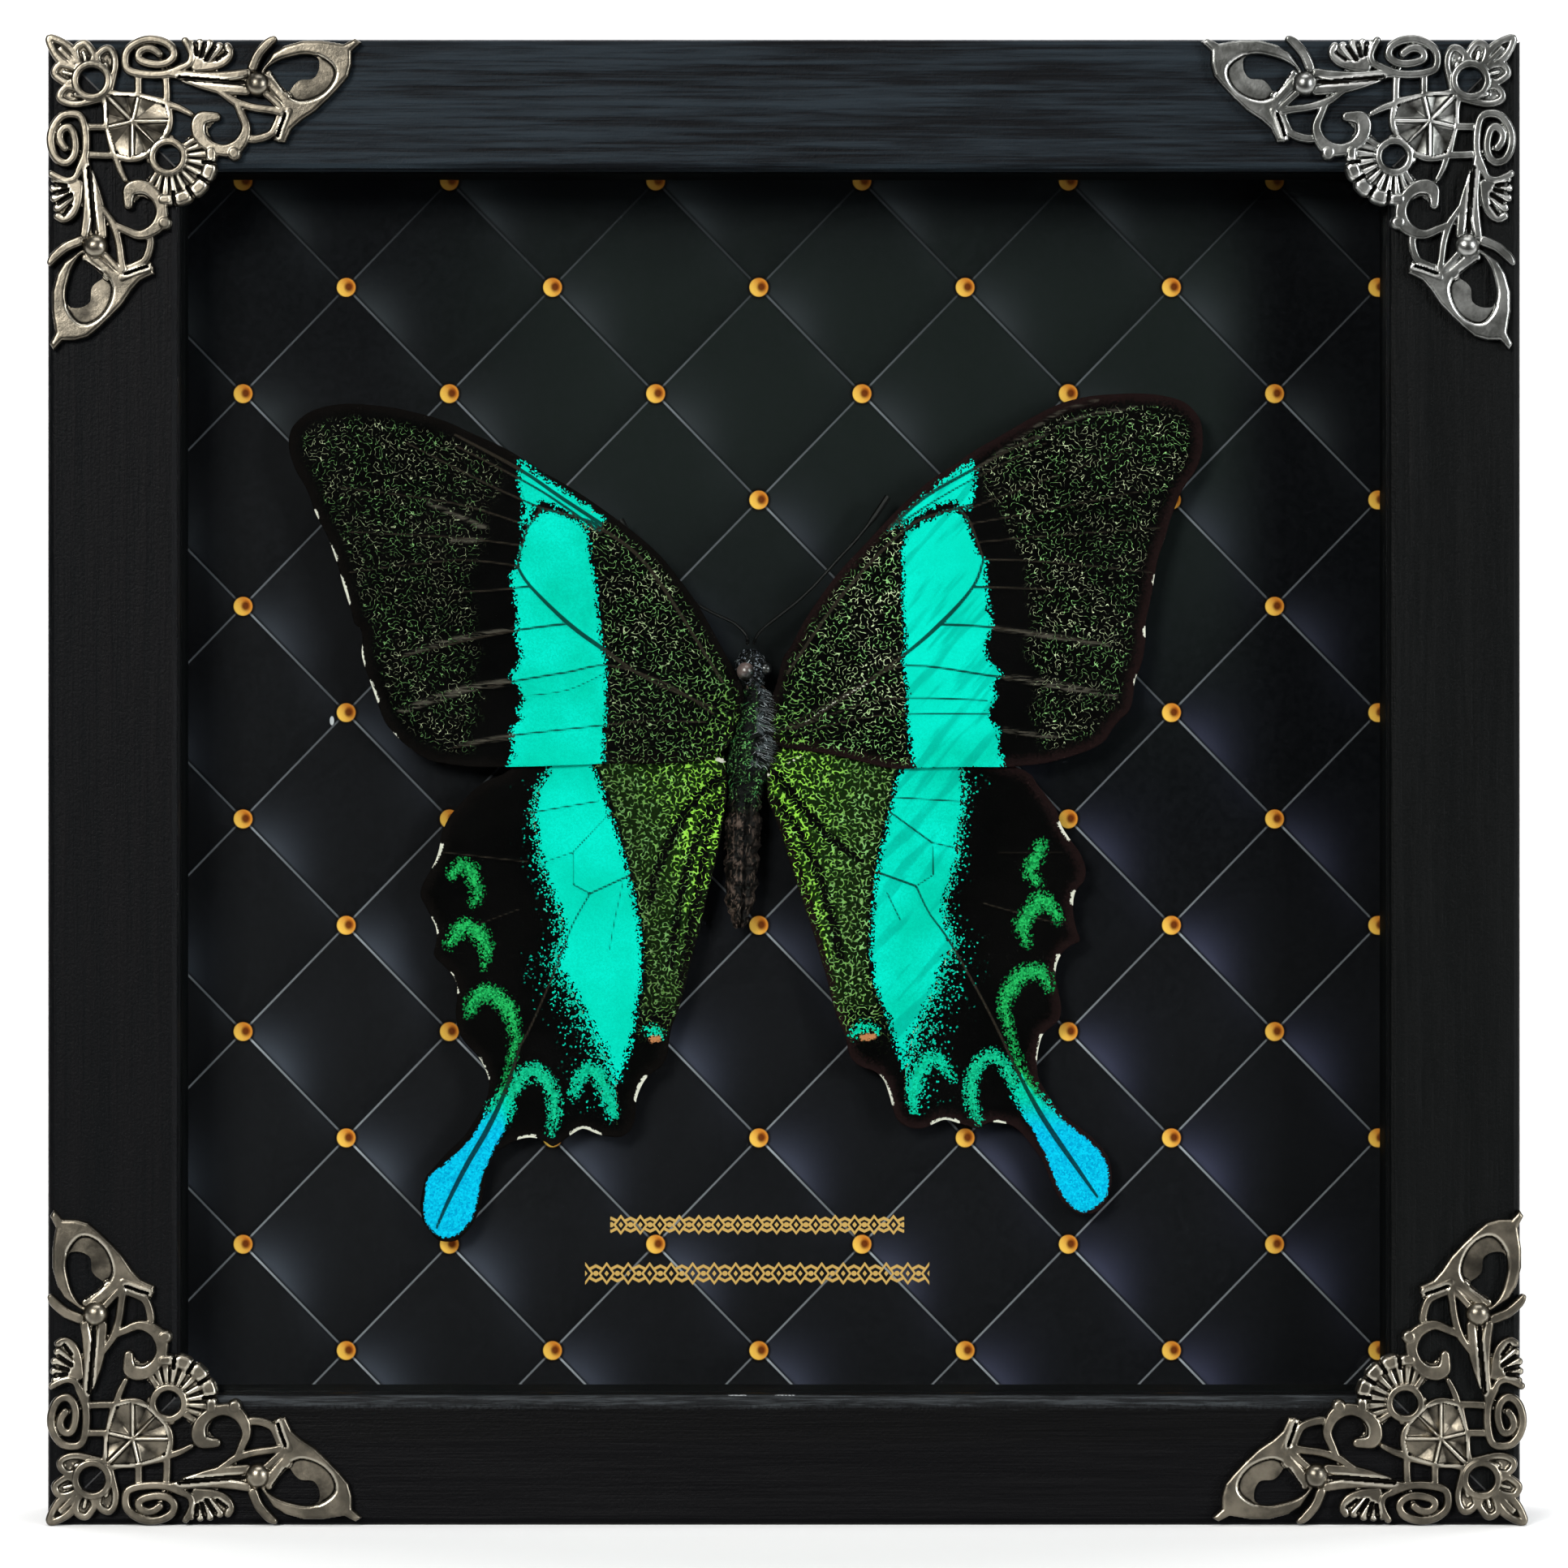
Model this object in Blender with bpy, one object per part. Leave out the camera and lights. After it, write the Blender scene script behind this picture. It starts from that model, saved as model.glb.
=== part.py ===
"""A butterfly specimen mounted in a small black shadow-box frame with cast filigree corners.

The frame stands upright on its bottom rail: +X to the viewer's right, +Z up, and the glass faces -Y.
The origin is under the middle of the whole object, on the surface it stands on.
Outlines are given in pixels of the reference photograph, a front view of 1932 by 1932 pixels, and are
turned into metres by one driving size: the frame's outer width and the pixels that it spans.
"""

from math import cos, hypot, pi, sin, sqrt

import bmesh
import bpy
from mathutils import Matrix, Vector
from mathutils.geometry import tessellate_polygon

MM = 0.001

# Driving sizes
FRAME_WIDTH = 180 * MM
FRAME_HEIGHT = 181.6 * MM
FRAME_DEPTH = 28 * MM
RAIL_WIDTH = 16 * MM
LIP_THICKNESS = 3 * MM
RABBET_WIDTH = 5 * MM
RAIL_EDGE_RADIUS = 0.8 * MM
FIT_GAP = 0.3 * MM
MITRE_GAP = 0.15 * MM

GLASS_THICKNESS = 2 * MM
SPACER_DEPTH = 9.2 * MM
SHEET_THICKNESS = 0.8 * MM
BOARD_THICKNESS = 3 * MM

CORNER_THICKNESS = 1.5 * MM
CORNER_BALL_RADIUS = 1.3 * MM
CORNER_FOOT_LIFT = 0.55 * MM

TAB_LENGTH = 12 * MM
TAB_WIDTH = 6 * MM
TAB_THICKNESS = 0.5 * MM
TAB_OFFSET = 42 * MM
HANGER_LENGTH = 42 * MM
HANGER_HEIGHT = 8 * MM
HANGER_THICKNESS = 1 * MM
HANGER_DROP = 18 * MM
HANGER_TOOTH_COUNT = 9

WING_THICKNESS = 0.35 * MM
FOREWING_HEIGHT = 5.3 * MM
HINDWING_HEIGHT = 4.5 * MM
WING_DROOP = 0.025
BODY_CLEARANCE = 0.3 * MM
ANTENNA_RADIUS = 0.22 * MM
ANTENNA_CLUB_RADIUS = 0.42 * MM

# Depths, measured back from the front face of the rails
GLASS_FRONT = LIP_THICKNESS + FIT_GAP
SPACER_FRONT = GLASS_FRONT + GLASS_THICKNESS + FIT_GAP
SHEET_FRONT = SPACER_FRONT + SPACER_DEPTH + FIT_GAP
BOARD_FRONT = SHEET_FRONT + SHEET_THICKNESS + FIT_GAP
BOARD_BACK = BOARD_FRONT + BOARD_THICKNESS
TAB_FRONT = BOARD_BACK + FIT_GAP

# The corners stand proud of the rails, so the middle of the whole object lies in front of the rails' own
CORNER_BACK_GAP = FIT_GAP
CORNER_BALL_DEPTH = 1.0 * MM
CORNER_PROUD = CORNER_BACK_GAP + 0.75 * CORNER_THICKNESS + CORNER_BALL_DEPTH
FRONT_Y = -(FRAME_DEPTH - CORNER_PROUD) / 2

# The photograph: the frame's outer width in pixels, its middle, and how far away the camera stood
PHOTO_FRAME_WIDTH = 1815
PHOTO_MIDDLE = (966, 963.75)
CAMERA_DISTANCE = 900 * MM


def photo_scale(depth):
    """Metres for one photograph pixel on a plane this far behind the frame's front face."""
    return FRAME_WIDTH / PHOTO_FRAME_WIDTH * (1 + depth / CAMERA_DISTANCE)


def from_photo(point, depth):
    """The (x, z) place of a photograph pixel on a plane this far behind the frame's front face."""
    scale = photo_scale(depth)
    x = (point[0] - PHOTO_MIDDLE[0]) * scale
    z = FRAME_HEIGHT / 2 - (point[1] - PHOTO_MIDDLE[1]) * scale
    return x, z


# Wing outlines, in photograph pixels, from the root round the wing and back to it
LEFT_FOREWING = [
    (899, 850), (885, 800), (868, 768), (850, 738), (830, 712), (800, 684), (770, 656), (740, 628),
    (700, 597), (660, 572), (610, 545), (550, 517), (500, 504), (440, 497), (400, 500), (368, 513),
    (356, 540), (360, 575), (380, 616), (402, 655), (410, 690), (425, 728), (436, 765), (447, 792),
    (452, 830), (466, 868), (490, 900), (520, 925), (570, 941), (640, 945), (760, 944), (870, 940),
    (899, 925), (900, 885),
]
RIGHT_FOREWING = [
    (952, 870), (960, 825), (975, 788), (1000, 750), (1030, 712), (1060, 680), (1090, 645), (1120, 616),
    (1150, 590), (1180, 567), (1240, 530), (1300, 502), (1350, 488), (1400, 484), (1440, 489), (1470, 506),
    (1483, 540), (1477, 572), (1460, 602), (1448, 640), (1433, 680), (1420, 720), (1412, 762), (1406, 805),
    (1396, 848), (1380, 880), (1350, 907), (1310, 930), (1250, 941), (1150, 946), (1040, 941), (965, 926),
    (951, 905),
]
LEFT_HINDWING = [
    (897, 938), (800, 925), (690, 925), (625, 943), (590, 963), (560, 990), (546, 1015), (541, 1045),
    (528, 1068), (518, 1095), (526, 1118), (537, 1140), (535, 1170), (546, 1192), (561, 1215), (562, 1255),
    (580, 1284), (598, 1312), (600, 1345), (585, 1382), (556, 1412), (526, 1438), (517, 1480), (526, 1518),
    (550, 1531), (578, 1511), (593, 1472), (604, 1430), (628, 1402), (655, 1398), (682, 1408), (710, 1392),
    (750, 1400), (776, 1388), (783, 1354), (800, 1322), (816, 1303), (826, 1262), (842, 1210), (860, 1130),
    (876, 1060), (890, 990), (897, 960),
]
RIGHT_HINDWING = [
    (952, 938), (1050, 925), (1160, 925), (1235, 940), (1272, 962), (1297, 985), (1308, 1022), (1336, 1068),
    (1322, 1096), (1321, 1122), (1330, 1154), (1303, 1176), (1299, 1200), (1308, 1250), (1286, 1270),
    (1275, 1298), (1282, 1332), (1305, 1370), (1342, 1402), (1366, 1430), (1369, 1468), (1348, 1498),
    (1318, 1488), (1298, 1458), (1280, 1415), (1255, 1388), (1232, 1383), (1210, 1392), (1180, 1379),
    (1150, 1385), (1120, 1391), (1102, 1378), (1094, 1345), (1076, 1321), (1052, 1304), (1036, 1262),
    (1016, 1202), (992, 1122), (972, 1058), (957, 1005), (952, 970),
]

# Body sections from head to tail: place of the middle in pixels, half width in pixels, then half depth
# and height of the middle above the sheet in millimetres
BODY_SECTIONS = [
    (924, 799, 5, 0.6, 4.6), (924, 803, 13, 1.3, 4.6), (924, 812, 18, 1.9, 4.5), (925, 824, 19, 2.1, 4.4),
    (926, 836, 15, 1.8, 4.3), (927, 844, 11, 1.6, 4.1), (927, 853, 16, 2.4, 3.9), (926, 870, 21, 3.1, 3.8),
    (925, 895, 22, 3.4, 3.8), (923, 925, 22, 3.3, 3.7), (921, 950, 20, 2.7, 3.5), (920, 968, 17, 2.1, 3.4),
    (918, 985, 21, 2.4, 3.3), (916, 1015, 23, 2.6, 3.2), (914, 1050, 22, 2.4, 3.1), (913, 1085, 21, 2.2, 3.0),
    (912, 1112, 18, 1.9, 2.9), (911, 1132, 12, 1.3, 2.8), (911, 1145, 4, 0.5, 2.8),
]
BODY_SIDES = 20
EYE_CENTRES = ((911, 823), (937, 821))
EYE_RADIUS = 1.15 * MM
EYE_HEIGHT = 4.9 * MM

# Antennae: the shaft's route in pixels from the head to the club's tip
LEFT_ANTENNA = [
    (921, 793), (920, 783), (905, 768), (880, 756), (855, 742), (828, 722), (802, 696), (780, 668), (765, 640),
]
RIGHT_ANTENNA = [
    (929, 793), (934, 781), (952, 765), (978, 745), (1003, 722), (1030, 692), (1056, 664), (1078, 636), (1094, 612),
]
ANTENNA_HEIGHT_AT_HEAD = 5.9 * MM
ANTENNA_HEIGHT_AT_TIP = 3.3 * MM

# One filigree corner, top left, in pixels from the frame's own corner at CORNER_PIXEL.
# Each list gives the half above the diagonal; the other half is its mirror image.
CORNER_PIXEL = (62, 48)
CORNER_OUTLINE = [
    (63, 49), (76, 46), (90, 57), (106, 51), (119, 64), (134, 58), (148, 65), (162, 55), (180, 48),
    (200, 48), (213, 55), (220, 70), (226, 52), (245, 51), (272, 52), (285, 66), (284, 84), (276, 92),
    (302, 90), (310, 78), (330, 47), (342, 48), (338, 58), (362, 52), (400, 50), (425, 55), (443, 49),
    (436, 63), (433, 88), (420, 112), (396, 137), (364, 160), (353, 177), (318, 180), (304, 177),
    (297, 192), (280, 196), (268, 196), (267, 218), (260, 235),
]
CORNER_TIP = (249, 235)
CORNER_HOLES = {
    "lattice_inner": [(143, 92), (168, 92), (168, 112), (143, 112)],
    "lattice_outer": [(174, 97), (202, 99), (202, 121), (174, 118)],
    "wheel_gap": [(213, 140), (224, 139), (234, 147), (238, 164), (230, 176), (219, 176), (212, 166)],
    "scroll": [
        (212, 102), (232, 103), (252, 109), (272, 121), (290, 138), (299, 156), (295, 170), (280, 178),
        (264, 173), (256, 160), (262, 149), (273, 143), (266, 139), (240, 137), (212, 126),
    ],
    "ladder": [(306, 138), (338, 142), (337, 160), (319, 168), (311, 164)],
    "teardrop": [
        (331, 91), (346, 79), (364, 71), (386, 71), (394, 81), (389, 96), (371, 99), (356, 111), (342, 102),
    ],
}
CORNER_ROUND_HOLES = (((114, 100), 15), ((207, 193), 14))
CORNER_BALL = (317, 102)
ROUND_HOLE_POINTS = 16


def clear_scene():
    for old in list(bpy.data.objects):
        bpy.data.objects.remove(old)


def material(name, colour, roughness, metallic=0.0, transmission=0.0, ior=1.45):
    """A Principled BSDF; colour is (red, green, blue)."""
    made = bpy.data.materials.new(name)
    made.use_nodes = True
    shader = made.node_tree.nodes["Principled BSDF"]
    shader.inputs["Base Color"].default_value = (*colour, 1)
    shader.inputs["Roughness"].default_value = roughness
    shader.inputs["Metallic"].default_value = metallic
    shader.inputs["Transmission Weight"].default_value = transmission
    shader.inputs["IOR"].default_value = ior
    made.diffuse_color = (*colour, 1)
    return made


def add_object(name, bm, finish):
    """A mesh object from bmesh data, its normals facing out."""
    bmesh.ops.recalc_face_normals(bm, faces=bm.faces)
    mesh = bpy.data.meshes.new(name)
    bm.to_mesh(mesh)
    bm.free()
    mesh.materials.append(finish)
    made = bpy.data.objects.new(name, mesh)
    bpy.context.scene.collection.objects.link(made)
    return made


def shade(obj, angle=40):
    obj.data.shade_smooth()
    obj.data.set_sharp_from_angle(angle=angle * pi / 180)


def add_box(name, low, high, finish):
    bm = bmesh.new()
    size = Vector(high) - Vector(low)
    place = Matrix.Translation((Vector(high) + Vector(low)) / 2) @ Matrix.Diagonal((*size, 1))
    bmesh.ops.create_cube(bm, size=1, matrix=place)
    return add_object(name, bm, finish)


def loft(bm, rings):
    """Joins closed rings of equal length with quads and caps both ends."""
    rows = [[bm.verts.new(p) for p in ring] for ring in rings]
    for near, far in zip(rows, rows[1:]):
        for i in range(len(near)):
            j = (i + 1) % len(near)
            bm.faces.new((near[i], near[j], far[j], far[i]))
    bm.faces.new(rows[0][::-1])
    bm.faces.new(rows[-1])


def smooth_loop(points, steps):
    """A closed Catmull-Rom curve through the points, with this many pieces between two of them."""
    count = len(points)
    made = []
    for i in range(count):
        a, b, c, d = (Vector(points[(i + k) % count]) for k in (-1, 0, 1, 2))
        for s in range(steps):
            t = s / steps
            made.append(catmull_rom(a, b, c, d, t))
    return made


def catmull_rom(a, b, c, d, t):
    return 0.5 * (2 * b + (c - a) * t + (2 * a - 5 * b + 4 * c - d) * t**2 + (3 * b - a - 3 * c + d) * t**3)


# Frame


def rail_profile():
    """(distance in from the outer face, depth back from the front face) round the L-shaped section."""
    r = RAIL_EDGE_RADIUS
    back_width = RAIL_WIDTH - RABBET_WIDTH
    return [
        (0, r), (0.3 * r, 0.3 * r), (r, 0), (RAIL_WIDTH - r, 0), (RAIL_WIDTH - 0.3 * r, 0.3 * r),
        (RAIL_WIDTH, r), (RAIL_WIDTH, LIP_THICKNESS), (back_width, LIP_THICKNESS),
        (back_width, FRAME_DEPTH), (0, FRAME_DEPTH),
    ]


def add_rail(name, side, finish):
    """One mitred rail. side is bottom, top, left or right."""
    half_width, height, gap = FRAME_WIDTH / 2, FRAME_HEIGHT, MITRE_GAP

    def place(inset, depth, end):
        y = FRONT_Y + depth
        if side in ("bottom", "top"):
            z = inset if side == "bottom" else height - inset
            return (end * (half_width - inset - gap), y, z)
        x = half_width - inset if side == "right" else inset - half_width
        return (x, y, inset + gap if end < 0 else height - inset - gap)

    bm = bmesh.new()
    loft(bm, [[place(inset, depth, end) for inset, depth in rail_profile()] for end in (-1, 1)])
    return add_object(name, bm, finish)


def add_layer(name, front, thickness, finish):
    """A flat sheet that fills the rabbet, such as the glass or the backing board."""
    margin = RAIL_WIDTH - RABBET_WIDTH + FIT_GAP
    half = FRAME_WIDTH / 2 - margin
    low = (-half, FRONT_Y + front, margin)
    high = (half, FRONT_Y + front + thickness, FRAME_HEIGHT - margin)
    return add_box(name, low, high, finish)


def add_spacers(finish):
    """Four strips that keep the glass clear of the specimen; their inner faces line up with the lip."""
    outer = RAIL_WIDTH - RABBET_WIDTH + FIT_GAP
    front, back = FRONT_Y + SPACER_FRONT, FRONT_Y + SPACER_FRONT + SPACER_DEPTH
    half_out, half_in = FRAME_WIDTH / 2 - outer, FRAME_WIDTH / 2 - RAIL_WIDTH
    top, bottom = FRAME_HEIGHT - outer, outer
    top_in, bottom_in = FRAME_HEIGHT - RAIL_WIDTH, RAIL_WIDTH
    add_box("spacer_top", (-half_out, front, top_in), (half_out, back, top), finish)
    add_box("spacer_bottom", (-half_out, front, bottom), (half_out, back, bottom_in), finish)
    for side, sign in (("left", -1), ("right", 1)):
        across = sorted((sign * half_in, sign * half_out))
        low = (across[0], front, bottom_in + FIT_GAP)
        high = (across[1], back, top_in - FIT_GAP)
        add_box(f"spacer_{side}", low, high, finish)


def add_retaining_tabs(finish):
    """Thin steel points pushed into the rails behind the board, two on each side."""
    y0, y1 = FRONT_Y + TAB_FRONT, FRONT_Y + TAB_FRONT + TAB_THICKNESS
    edge = RAIL_WIDTH - RABBET_WIDTH + FIT_GAP
    middle = FRAME_HEIGHT / 2
    for i, offset in enumerate((-TAB_OFFSET, TAB_OFFSET), start=1):
        half = TAB_WIDTH / 2
        inner = edge + TAB_LENGTH
        x = FRAME_WIDTH / 2
        along = (offset - half, offset + half)
        add_box(f"tab_bottom_{i}", (along[0], y0, edge), (along[1], y1, inner), finish)
        add_box(f"tab_top_{i}", (along[0], y0, FRAME_HEIGHT - inner), (along[1], y1, FRAME_HEIGHT - edge), finish)
        up = (middle + along[0], middle + along[1])
        add_box(f"tab_left_{i}", (edge - x, y0, up[0]), (inner - x, y1, up[1]), finish)
        add_box(f"tab_right_{i}", (x - inner, y0, up[0]), (x - edge, y1, up[1]), finish)


def add_hanger(finish):
    """A sawtooth hanger on the back of the board: a plate whose lower edge has teeth."""
    half, foot = HANGER_LENGTH / 2, HANGER_LENGTH / 6
    top = FRAME_HEIGHT - RAIL_WIDTH - HANGER_DROP
    tooth = 2 * (half - foot) / HANGER_TOOTH_COUNT
    outline = [(-half, top), (half, top), (half, top - HANGER_HEIGHT), (half - foot, top - HANGER_HEIGHT)]
    for i in range(HANGER_TOOTH_COUNT):
        right = half - foot - i * tooth
        outline += [(right - tooth / 2, top - 0.62 * HANGER_HEIGHT), (right - tooth, top - 0.8 * HANGER_HEIGHT)]
    outline += [(foot - half, top - HANGER_HEIGHT), (-half, top - HANGER_HEIGHT)]
    y0 = FRONT_Y + TAB_FRONT
    bm = bmesh.new()
    loft(bm, [[(x, y, z) for x, z in outline] for y in (y0, y0 + HANGER_THICKNESS)])
    return add_object("hanger", bm, finish)


# Filigree corners


def corner_place(point):
    """(along the horizontal edge, along the vertical edge) from the frame's corner, in metres."""
    scale = photo_scale(0)
    return ((point[0] - CORNER_PIXEL[0]) * scale, (point[1] - CORNER_PIXEL[1]) * scale)


def with_mirror(points):
    """The half above the diagonal, which starts on it, then its mirror image back to the start."""
    half = [corner_place(p) for p in points]
    return half + [corner_place(CORNER_TIP)] + [(v, u) for u, v in reversed(half[1:])]


def corner_loops():
    """All closed loops of the casting: the outline, then the holes."""
    loops = [smooth_loop(with_mirror(CORNER_OUTLINE), 2)]
    for points in CORNER_HOLES.values():
        steps = 2 if len(points) > 6 else 1
        hole = smooth_loop([corner_place(p) for p in points], steps)
        loops += [hole, [(v, u) for u, v in hole]]
    for centre, radius in CORNER_ROUND_HOLES:
        u, v = corner_place(centre)
        middle, r = (u + v) / 2, radius * photo_scale(0)
        turn = 2 * pi / ROUND_HOLE_POINTS
        loops.append([(middle + r * cos(i * turn), middle + r * sin(i * turn)) for i in range(ROUND_HOLE_POINTS)])
    return loops


def corner_plate(across, up):
    """The casting's plate: its loops filled flat, then given a thickness."""
    bm = bmesh.new()
    edges = []
    for loop in corner_loops():
        ring = [bm.verts.new((across * u, up * v, -CORNER_THICKNESS / 2)) for u, v in loop]
        edges += [bm.edges.new((ring[i - 1], ring[i])) for i in range(len(ring))]
    bmesh.ops.triangle_fill(bm, use_beauty=True, use_dissolve=False, edges=edges)
    raised = bmesh.ops.extrude_face_region(bm, geom=bm.faces[:], use_keep_orig=True)
    top = [item for item in raised["geom"] if isinstance(item, bmesh.types.BMVert)]
    bmesh.ops.translate(bm, vec=(0, 0, CORNER_THICKNESS), verts=top)
    return bm


def add_corner(name, across, up, finish):
    """across and up are +1 or -1: the way the casting runs from its own corner of the frame."""
    bm = corner_plate(across, up)
    x = -across * FRAME_WIDTH / 2
    z = CORNER_FOOT_LIFT if up > 0 else FRAME_HEIGHT
    y = FRONT_Y - CORNER_BACK_GAP - CORNER_THICKNESS / 2
    upright = Matrix.Translation((x, y, z)) @ Matrix.Rotation(pi / 2, 4, "X")
    bmesh.ops.transform(bm, matrix=upright, verts=bm.verts)
    made = add_object(name, bm, finish)
    for i, flip in enumerate((False, True)):
        u, v = corner_place(CORNER_BALL)[::-1] if flip else corner_place(CORNER_BALL)
        add_dome(made, i, (x + across * u, y - CORNER_THICKNESS / 4, z + up * v))
    return made


def add_dome(casting, number, centre):
    """Joins a ball to the casting by a Boolean union."""
    bm = bmesh.new()
    place = Matrix.Translation(centre) @ Matrix.Rotation(pi / 2, 4, "X")
    bmesh.ops.create_uvsphere(bm, u_segments=12, v_segments=8, radius=CORNER_BALL_RADIUS, matrix=place)
    flatten = Matrix.Diagonal((1, CORNER_BALL_DEPTH / CORNER_BALL_RADIUS, 1, 1))
    about = Matrix.Translation(centre) @ flatten @ Matrix.Translation(-Vector(centre))
    bmesh.ops.transform(bm, matrix=about, verts=bm.verts)
    ball = add_object(f"{casting.name}_ball_{number}", bm, casting.data.materials[0])
    ball.hide_render = True
    ball.display_type = "WIRE"
    union = casting.modifiers.new(f"ball_{number}", "BOOLEAN")
    union.operation = "UNION"
    union.object = ball


# Butterfly


def wing_height(x, z, height, root):
    """Height of a wing above the sheet: it droops a little away from its root."""
    return height - WING_DROOP * hypot(x - root[0], z - root[1])


def add_wing(name, outline, height, root_pixel, finish):
    """A thin blade with a smooth outline, drooping a little towards its edge."""
    depth = SHEET_FRONT - height
    loop = [from_photo(p, depth) for p in smooth_loop(outline, 2)]
    root = from_photo(root_pixel, depth)
    bm = bmesh.new()
    faces = tessellate_polygon([[Vector((x, z, 0)) for x, z in loop]])
    sides = []
    for half in (-WING_THICKNESS / 2, WING_THICKNESS / 2):
        y = [FRONT_Y + SHEET_FRONT - wing_height(px, pz, height, root) + half for px, pz in loop]
        sides.append([bm.verts.new((px, py, pz)) for (px, pz), py in zip(loop, y)])
    for side in sides:
        for face in faces:
            bm.faces.new([side[i] for i in face])
    count = len(loop)
    for i in range(count):
        j = (i + 1) % count
        bm.faces.new((sides[0][i], sides[0][j], sides[1][j], sides[1][i]))
    return add_object(name, bm, finish)


def add_body(finish):
    """Head, thorax and abdomen lofted through oval sections, with the two eyes joined on."""
    rings = []
    for px, py, half_width, half_depth, height in BODY_SECTIONS:
        x, z = from_photo((px, py), SHEET_FRONT - height * MM)
        y = FRONT_Y + SHEET_FRONT - height * MM
        w = half_width * photo_scale(SHEET_FRONT - height * MM)
        turn = 2 * pi / BODY_SIDES
        rings.append([(x + w * cos(i * turn), y + half_depth * MM * sin(i * turn), z) for i in range(BODY_SIDES)])
    bm = bmesh.new()
    loft(bm, rings)
    body = add_object("body", bm, finish)
    for i, centre in enumerate(EYE_CENTRES):
        x, z = from_photo(centre, SHEET_FRONT - EYE_HEIGHT)
        bm = bmesh.new()
        place = Matrix.Translation((x, FRONT_Y + SHEET_FRONT - EYE_HEIGHT, z))
        bmesh.ops.create_uvsphere(bm, u_segments=14, v_segments=10, radius=EYE_RADIUS, matrix=place)
        eye = add_object(f"eye_shape_{i}", bm, finish)
        eye.hide_render = True
        eye.display_type = "WIRE"
        union = body.modifiers.new(f"eye_{i}", "BOOLEAN")
        union.operation = "UNION"
        union.object = eye
    return body


def add_antenna(name, route, finish):
    """A thin curved shaft that thickens into a club at its tip."""
    count = len(route)
    curve = bpy.data.curves.new(name, "CURVE")
    curve.dimensions = "3D"
    curve.bevel_depth = ANTENNA_RADIUS
    curve.bevel_resolution = 2
    curve.use_fill_caps = True
    spline = curve.splines.new("POLY")
    spline.points.add(2 * (count - 1))
    for i in range(2 * count - 1):
        k, t = min(i // 2, count - 2), (i / 2 if i < 2 * count - 2 else count - 1)
        a, b, c, d = (Vector(route[min(max(k + step, 0), count - 1)]) for step in (-1, 0, 1, 2))
        pixel = catmull_rom(a, b, c, d, t - k)
        share = i / (2 * count - 2)
        height = ANTENNA_HEIGHT_AT_HEAD + (ANTENNA_HEIGHT_AT_TIP - ANTENNA_HEIGHT_AT_HEAD) * sqrt(share)
        x, z = from_photo(pixel, SHEET_FRONT - height)
        spline.points[i].co = (x, FRONT_Y + SHEET_FRONT - height, z, 1)
        spline.points[i].radius = ANTENNA_CLUB_RADIUS / ANTENNA_RADIUS if share > 0.85 else 1
    curve.materials.append(finish)
    made = bpy.data.objects.new(name, curve)
    bpy.context.scene.collection.objects.link(made)
    return made


def main():
    clear_scene()
    black_wood = material("black_painted_wood", (0.012, 0.013, 0.015), 0.45)
    glass = material("clear_glass", (0.95, 0.97, 0.96), 0.02, transmission=1.0, ior=1.5)
    liner = material("black_liner", (0.006, 0.006, 0.008), 0.7)
    print_paper = material("printed_sheet", (0.012, 0.013, 0.017), 0.5)
    fibreboard = material("backing_board", (0.28, 0.17, 0.09), 0.85)
    old_bronze = material("antiqued_metal", (0.34, 0.30, 0.23), 0.35, metallic=1.0)
    steel = material("plated_steel", (0.60, 0.60, 0.58), 0.35, metallic=1.0)
    wing_scales = material("wing_scales", (0.01, 0.09, 0.03), 0.6)
    cuticle = material("insect_cuticle", (0.02, 0.015, 0.012), 0.6)

    for side in ("top", "bottom", "left", "right"):
        add_rail(f"rail_{side}", side, black_wood)
    add_layer("glass", GLASS_FRONT, GLASS_THICKNESS, glass)
    add_spacers(liner)
    add_layer("background_sheet", SHEET_FRONT, SHEET_THICKNESS, print_paper)
    add_layer("backing_board", BOARD_FRONT, BOARD_THICKNESS, fibreboard)
    add_retaining_tabs(steel)
    add_hanger(steel)

    for name, across, up in (
        ("corner_top_left", 1, -1),
        ("corner_top_right", -1, -1),
        ("corner_bottom_left", 1, 1),
        ("corner_bottom_right", -1, 1),
    ):
        add_corner(name, across, up, old_bronze)

    add_wing("forewing_left", LEFT_FOREWING, FOREWING_HEIGHT, (900, 890), wing_scales)
    add_wing("forewing_right", RIGHT_FOREWING, FOREWING_HEIGHT, (951, 890), wing_scales)
    add_wing("hindwing_left", LEFT_HINDWING, HINDWING_HEIGHT, (897, 950), wing_scales)
    add_wing("hindwing_right", RIGHT_HINDWING, HINDWING_HEIGHT, (952, 950), wing_scales)
    add_body(cuticle)
    add_antenna("antenna_left", LEFT_ANTENNA, cuticle)
    add_antenna("antenna_right", RIGHT_ANTENNA, cuticle)


main()
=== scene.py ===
"""Looks for the framed butterfly specimen: castings, wings, body, printed sheet, glass and light."""

from math import atan2, cos, pi, sin

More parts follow.
